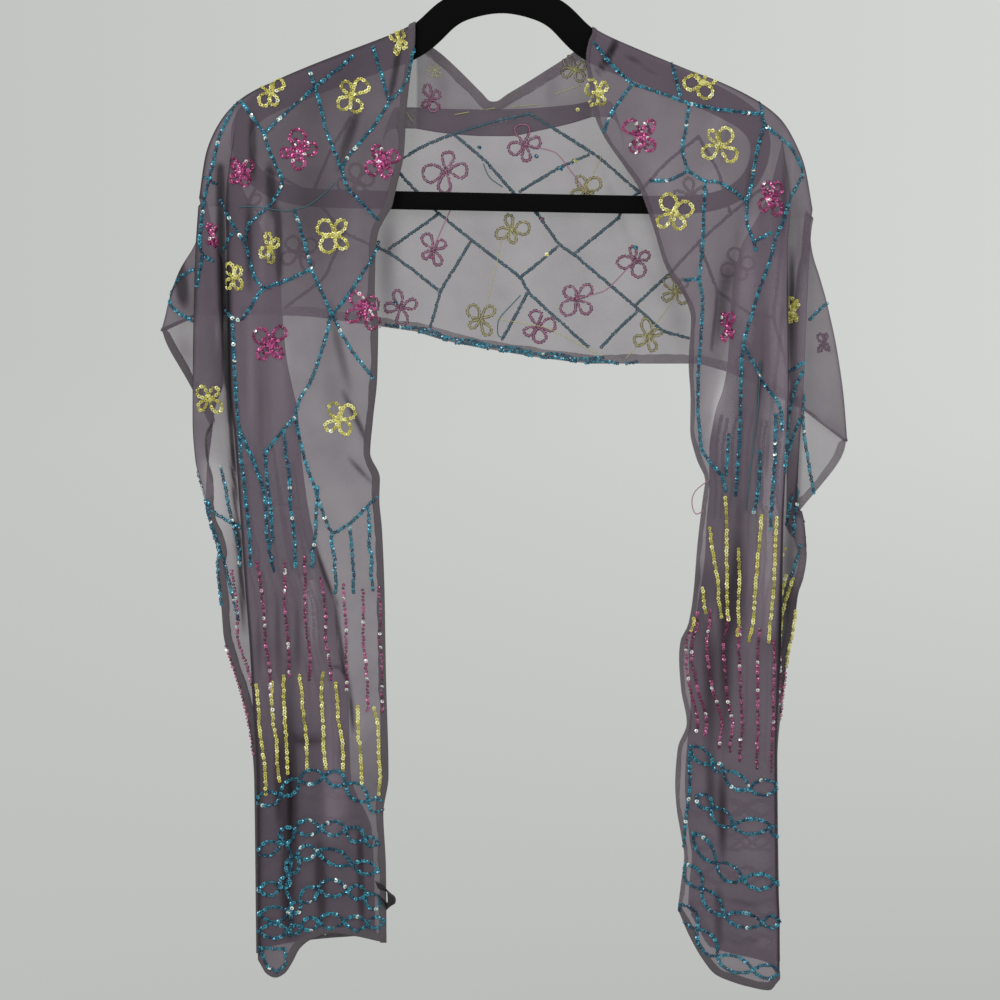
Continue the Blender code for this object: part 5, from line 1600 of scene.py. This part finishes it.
def sequin_tree(name, finish, pitch, outer, hole, cup, tip, seed):
    """Threads cups along the lines, each lying on the cloth, a little astray and a little tipped."""
    tree, given, result = new_tree(
        name, (("Pitch", pitch), ("Outer radius", outer), ("Hole radius", hole), ("Cup depth", cup),
               ("Tip", tip), ("Drift", 0.0003), ("Seed", seed)), "Sequins")
    new = tree.nodes.new
    curve, resample = new("GeometryNodeMeshToCurve"), new("GeometryNodeResampleCurve")
    resample.mode = "LENGTH"
    cone = new("GeometryNodeMeshCone")
    cone.fill_type = "NONE"
    cone.inputs["Vertices"].default_value = 8
    join(tree, (given, "Lines", curve, "Mesh"), (curve, "Curve", resample, "Curve"),
         (given, "Pitch", resample, "Length"), (given, "Hole radius", cone, "Radius Top"),
         (given, "Outer radius", cone, "Radius Bottom"), (given, "Cup depth", cone, "Depth"))
    astray, luck = chance(tree, given, "FLOAT_VECTOR"), chance(tree, given, "FLOAT_VECTOR")
    for bound, way in (("Min", -1.0), ("Max", 1.0)):
        drift, turn, spread = (new(f"ShaderNode{k}") for k in ("VectorMath", "Math", "CombineXYZ"))
        drift.operation, turn.operation = "SCALE", "MULTIPLY"
        drift.inputs[0].default_value = (way, way * 0.3, way)
        turn.inputs[1].default_value = way
        spread.inputs["Z"].default_value = way * math.pi
        join(tree, (given, "Drift", drift, "Scale"), (drift, "Vector", astray, bound),
             (given, "Tip", turn, 0), (turn, "Value", spread, "X"), (turn, "Value", spread, "Y"),
             (spread, "Vector", luck, bound))
    facing = new("GeometryNodeInputNamedAttribute")
    facing.data_type = "FLOAT_VECTOR"
    facing.inputs["Name"].default_value = "facing"
    lie, tipped = new("FunctionNodeAlignRotationToVector"), new("FunctionNodeEulerToRotation")
    lie.axis = "Z"
    turned = new("FunctionNodeRotateRotation")
    turned.rotation_space = "LOCAL"
    size, shade = chance(tree, given), chance(tree, given)
    size.inputs[2].default_value, size.inputs[3].default_value = 0.88, 1.08
    settle, scatter = new("GeometryNodeSetPosition"), new("GeometryNodeInstanceOnPoints")
    store = new("GeometryNodeStoreNamedAttribute")
    store.data_type, store.domain = "FLOAT", "INSTANCE"
    store.inputs["Name"].default_value = "shade"
    join(tree, (resample, "Curve", settle, "Geometry"), (astray, "Value", settle, "Offset"),
         (facing, "Attribute", lie, "Vector"), (luck, "Value", tipped, "Euler"),
         (lie, "Rotation", turned, "Rotation"), (tipped, "Rotation", turned, "Rotate By"),
         (settle, "Geometry", scatter, "Points"), (cone, "Mesh", scatter, "Instance"),
         (turned, "Rotation", scatter, "Rotation"), (size, 1, scatter, "Scale"),
         (scatter, "Instances", store, "Geometry"), (shade, 1, store, "Value"))
    return finished(tree, store, "Geometry", finish, result, "Sequins")


def lines_object(name, runs):
    """The runs as a mesh of loose edges in metres, each point carrying the way the cloth faces."""
    places, facings, edges = [], [], []
    for run in runs:
        start = len(places)
        places += [spot[0] * MM for spot in run]
        facings += [spot[1] for spot in run]
        edges += [(start + k, start + k + 1) for k in range(len(run) - 1)]
    mesh = bpy.data.meshes.new(name)
    mesh.from_pydata([tuple(p) for p in places], edges, [])
    facing = mesh.attributes.new("facing", "FLOAT_VECTOR", "POINT")
    facing.data.foreach_set("vector", np.array(facings, np.float32).ravel())
    return placed(name, mesh)


def grown(source, name, tree):
    """Runs a tree on an object and keeps the plain mesh that it makes."""
    modifier = source.modifiers.new(name, "NODES")
    modifier.node_group = tree
    for item in tree.interface.items_tree:
        if item.in_out == "INPUT" and item.socket_type != "NodeSocketGeometry":
            modifier[item.identifier] = item.default_value
    graph = bpy.context.evaluated_depsgraph_get()
    mesh = bpy.data.meshes.new_from_object(source.evaluated_get(graph), depsgraph=graph)
    mesh.name = name
    made = placed(name, mesh)
    source.modifiers.remove(modifier)
    bpy.data.objects.remove(source, do_unlink=True)
    return made


# %% [markdown]
# Sequins are punched from iridescent plastic film. Light glances off them as off metal, but the
# colour shifts from one to the next. The shade attribute, one number for each sequin, picks a
# tone between three, and for a few of them a near-white colour, which is a painted glint.

# %% Sequin finishes
def sequin_finish(name, deep, middle, pale, glint_colour, glint_share, shine=0.45):
    """Film in three tones, with a share of the sequins painted near-white as a painted glint."""
    made, tree, shader = material(name)
    ramp = tree.nodes.new("ShaderNodeValToRGB")
    tones = ramp.color_ramp
    tones.elements[0].position, tones.elements[0].color = 0.0, (*deep, 1)
    tones.elements[1].position, tones.elements[1].color = 0.55, (*middle, 1)
    start = 1 - glint_share
    # The last two stops are a painted glint, near-white
    for position, colour in ((0.86, pale), (start - 0.004, pale), (start, glint_colour), (1.0, glint_colour)):
        tones.elements.new(position).color = (*colour, 1)
    tree.links.new(attribute(tree, "shade"), ramp.inputs["Fac"])
    tree.links.new(ramp.outputs["Color"], shader.inputs["Base Color"])
    set_inputs(shader, Metallic=shine, Roughness=0.22, Coat_Weight=0.4, Coat_Roughness=0.08)
    return made


SEQUINS = {
    "teal": sequin_finish("turquoise_film", (0.004, 0.045, 0.10), (0.011, 0.155, 0.235),
                          (0.05, 0.33, 0.46), (0.80, 0.95, 0.90), 0.024),
    "pink": sequin_finish("fuchsia_film", (0.18, 0.010, 0.08), (0.41, 0.036, 0.18),
                          (0.66, 0.12, 0.36), (0.95, 0.88, 0.88), 0.05),
    "yellow": sequin_finish("lemon_film", (0.34, 0.30, 0.05), (0.74, 0.67, 0.12),
                            (0.95, 0.92, 0.36), (0.95, 0.95, 0.8), 0.006, 0.1),
    "berry": sequin_finish("berry_film", (0.12, 0.010, 0.055), (0.30, 0.036, 0.125),
                           (0.60, 0.16, 0.36), (0.95, 0.88, 0.88), 0.07),
}
# Each row, in metres: pitch, outer radius, hole radius, cup depth; then the tip in radians
SEQUIN_SIZES = {
    "teal": (0.0021, 0.00158, 0.0005, 0.00034, 0.62),
    "pink": (0.0022, 0.0015, 0.0005, 0.00034, 0.62),
    "yellow": (0.0023, 0.0015, 0.0005, 0.00024, 0.38),
    "berry": (0.0027, 0.00138, 0.00046, 0.00034, 0.62),
}
for number, (kind, finish) in enumerate(SEQUINS.items()):
    tree = sequin_tree(f"{kind}_sequins", finish, *SEQUIN_SIZES[kind], 3 + number)
    made = grown(lines_object(f"{kind}_lines", chains[kind]), f"sequins_{kind}", tree)
    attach(made, "root")
    print(made.name, len(made.data.polygons), "faces")

# %% [markdown]
# On the wrong side every chain shows only as the thread that holds it: a thin, dull line in the
# colour of its sequins. Curve to Mesh sweeps a small round profile along the same kind of lines.

# %% The thread tree
def thread_tree(name, finish, radius):
    """Sweeps a small round profile along the lines."""
    tree, given, result = new_tree(name, (("Thread radius", radius),), "Thread")
    curve, ring, sweep = (
        tree.nodes.new(f"GeometryNode{k}") for k in ("MeshToCurve", "CurvePrimitiveCircle", "CurveToMesh")
    )
    ring.inputs["Resolution"].default_value = 5
    sweep.inputs["Fill Caps"].default_value = True
    join(tree, (given, "Thread radius", ring, "Radius"), (given, "Lines", curve, "Mesh"),
         (curve, "Curve", sweep, "Curve"), (ring, "Curve", sweep, "Profile Curve"))
    return finished(tree, sweep, "Mesh", finish, result, "Thread")


def thread_finish(name, colour):
    """Dull yarn whose tone wanders along it."""
    made, tree, shader = material(name)
    tree.links.new(two_tone(tree, noise(tree, 700), colour, 1.4, 0.6), shader.inputs["Base Color"])
    set_inputs(shader, Roughness=0.7)
    return made


THREADS = {
    "teal": thread_finish("teal_thread", (0.055, 0.16, 0.20)),
    "pink": thread_finish("mauve_thread", (0.42, 0.18, 0.30)),
    "yellow": thread_finish("yellow_thread", (0.55, 0.52, 0.24)),
}
THREAD_RADII = {"teal": 0.00042, "pink": 0.0004, "yellow": 0.00028}
for kind, finish in THREADS.items():
    tree = thread_tree(f"{kind}_threads", finish, THREAD_RADII[kind])
    made = grown(lines_object(f"{kind}_thread_lines", chains["thread_" + kind]), f"threads_{kind}", tree)
    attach(made, "root")
    print(made.name, len(made.data.polygons), "faces")

# %% [markdown]
# A short loop of black satin ribbon is sewn to the inner edge of the left end, near its foot. It
# is a flat strip, folded back on itself, so it catches the light on one turn and not on the next.

# %% The satin loop
# Each row: x, y before the edge of the cloth, z, and the way across the ribbon as x, y, z
RIBBON = [
    (-99, -1.2, -758, 0.35, 0.05, -0.93), (-94.5, -2.2, -759.5, 0.42, 0.12, -0.90),
    (-90.5, -3.4, -762, 0.62, 0.25, -0.75), (-87.8, -4.2, -765.5, 0.86, 0.35, -0.36),
    (-87.2, -3.8, -769.5, 0.97, 0.25, 0.05), (-87.8, -2.8, -773.5, 0.93, 0.2, 0.32),
    (-90, -1.6, -775.5, 0.5, 0.5, 0.7), (-93.5, -1.2, -772, -0.2, 0.3, 0.9),
    (-97, -0.9, -768, -0.45, 0.05, 0.88),
]
RIBBON_HALF, RIBBON_THICK = 3.2, 0.16
# Half of the ribbon's section, as shares of its half width and its thickness
RIBBON_SECTION = ((-1, -0.5), (-0.5, -1), (0, -1), (0.5, -1), (1, -0.5))
front_y = float(land(-102, -765)[0][1])
ribbon = np.array(RIBBON)
at = np.linspace(0, len(ribbon) - 1, 64)
ribbon = np.stack([along(np.arange(len(ribbon)), ribbon[:, k], at) for k in range(6)], axis=1)
middle = ribbon[:, :3] + (0, front_y, 0)
across_way = ribbon[:, 3:] / np.linalg.norm(ribbon[:, 3:], axis=1)[:, None]
ahead = np.gradient(middle, axis=0)
up = np.cross(ahead, across_way)
up /= np.linalg.norm(up, axis=1)[:, None]
section = [*RIBBON_SECTION, *((-a, -b) for a, b in RIBBON_SECTION)]
rings = [
    [m + w * RIBBON_HALF * a + u * RIBBON_THICK * b for a, b in section]
    for m, w, u in zip(middle, across_way, up)
]
satin_loop = swept("satin_loop", rings, False)
satin, tree, shader = material("black_satin")
tree.links.new(ranged(tree, noise(tree, 1400), 0.3, 0.7, 0.24, 0.40), shader.inputs["Roughness"])
set_inputs(shader, Base_Color=(0.006, 0.006, 0.007, 1), Specular_IOR_Level=0.6)
satin_loop.data.materials.append(satin)
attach(satin_loop, "root")
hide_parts("end_loop")

# %% [markdown]
# ## Floor, light and camera
#
# A pale floor, a pale sky that is a little brighter overhead, one large soft lamp from the upper
# left in front, and a level camera straight in front of the hanger.

# %% Floor
bpy.ops.mesh.primitive_circle_add(vertices=96, radius=2.4, fill_type="NGON", location=(0, 0.6, -1.75))
floor = bpy.context.active_object
floor.name = "pale_floor"
floor_finish, _, shader = material("floor_paint")
set_inputs(shader, Base_Color=(0.62, 0.62, 0.60, 1), Roughness=0.9)
floor.data.materials.append(floor_finish)

# %% Light
scene = bpy.context.scene
sky = bpy.data.worlds.new("pale_sky")
scene.world = sky
sky.use_nodes = True
tree = sky.node_tree
place, split = tree.nodes.new("ShaderNodeTexCoord"), tree.nodes.new("ShaderNodeSeparateXYZ")
tree.links.new(place.outputs["Generated"], split.inputs["Vector"])
height = ranged(tree, split.outputs["Z"], -0.17, 0.02, 0.51, 0.61)
tilt = ranged(tree, split.outputs["Z"], -0.17, 0.05, -0.1, 0.5)
sideways = sums(tree, "MULTIPLY_ADD", split.outputs["X"], tilt, 1.0)
background = tree.nodes["Background"]
background.inputs["Color"].default_value = (0.98, 1.0, 0.975, 1)
tree.links.new(sums(tree, "MULTIPLY", height, sideways), background.inputs["Strength"])
lamp = bpy.data.lights.new("window", "AREA")
lamp.shape, lamp.size, lamp.energy, lamp.color = "DISK", 1.2, 22, (1.0, 0.99, 0.97)
window = placed("window", lamp)
window.location = (-1.3, -2.0, 1.0)
window.rotation_euler = (Vector((0, 0, -0.4)) - window.location).to_track_quat("-Z", "Y").to_euler()

# %% Camera
SENSOR_WIDTH, CAMERA_AWAY, VIEW_WIDTH = 36, 2.2, 0.77
camera = placed("camera", bpy.data.cameras.new("camera"))
camera.location = (-0.004, -2.212, -0.462)
camera.rotation_euler = (math.pi / 2, 0, 0)
camera.data.lens = SENSOR_WIDTH * CAMERA_AWAY / VIEW_WIDTH
camera.data.sensor_width = SENSOR_WIDTH
camera.data.clip_start = 0.05
scene.camera = camera
scene.view_settings.view_transform = "Standard"
scene.cycles.transparent_max_bounces = 32
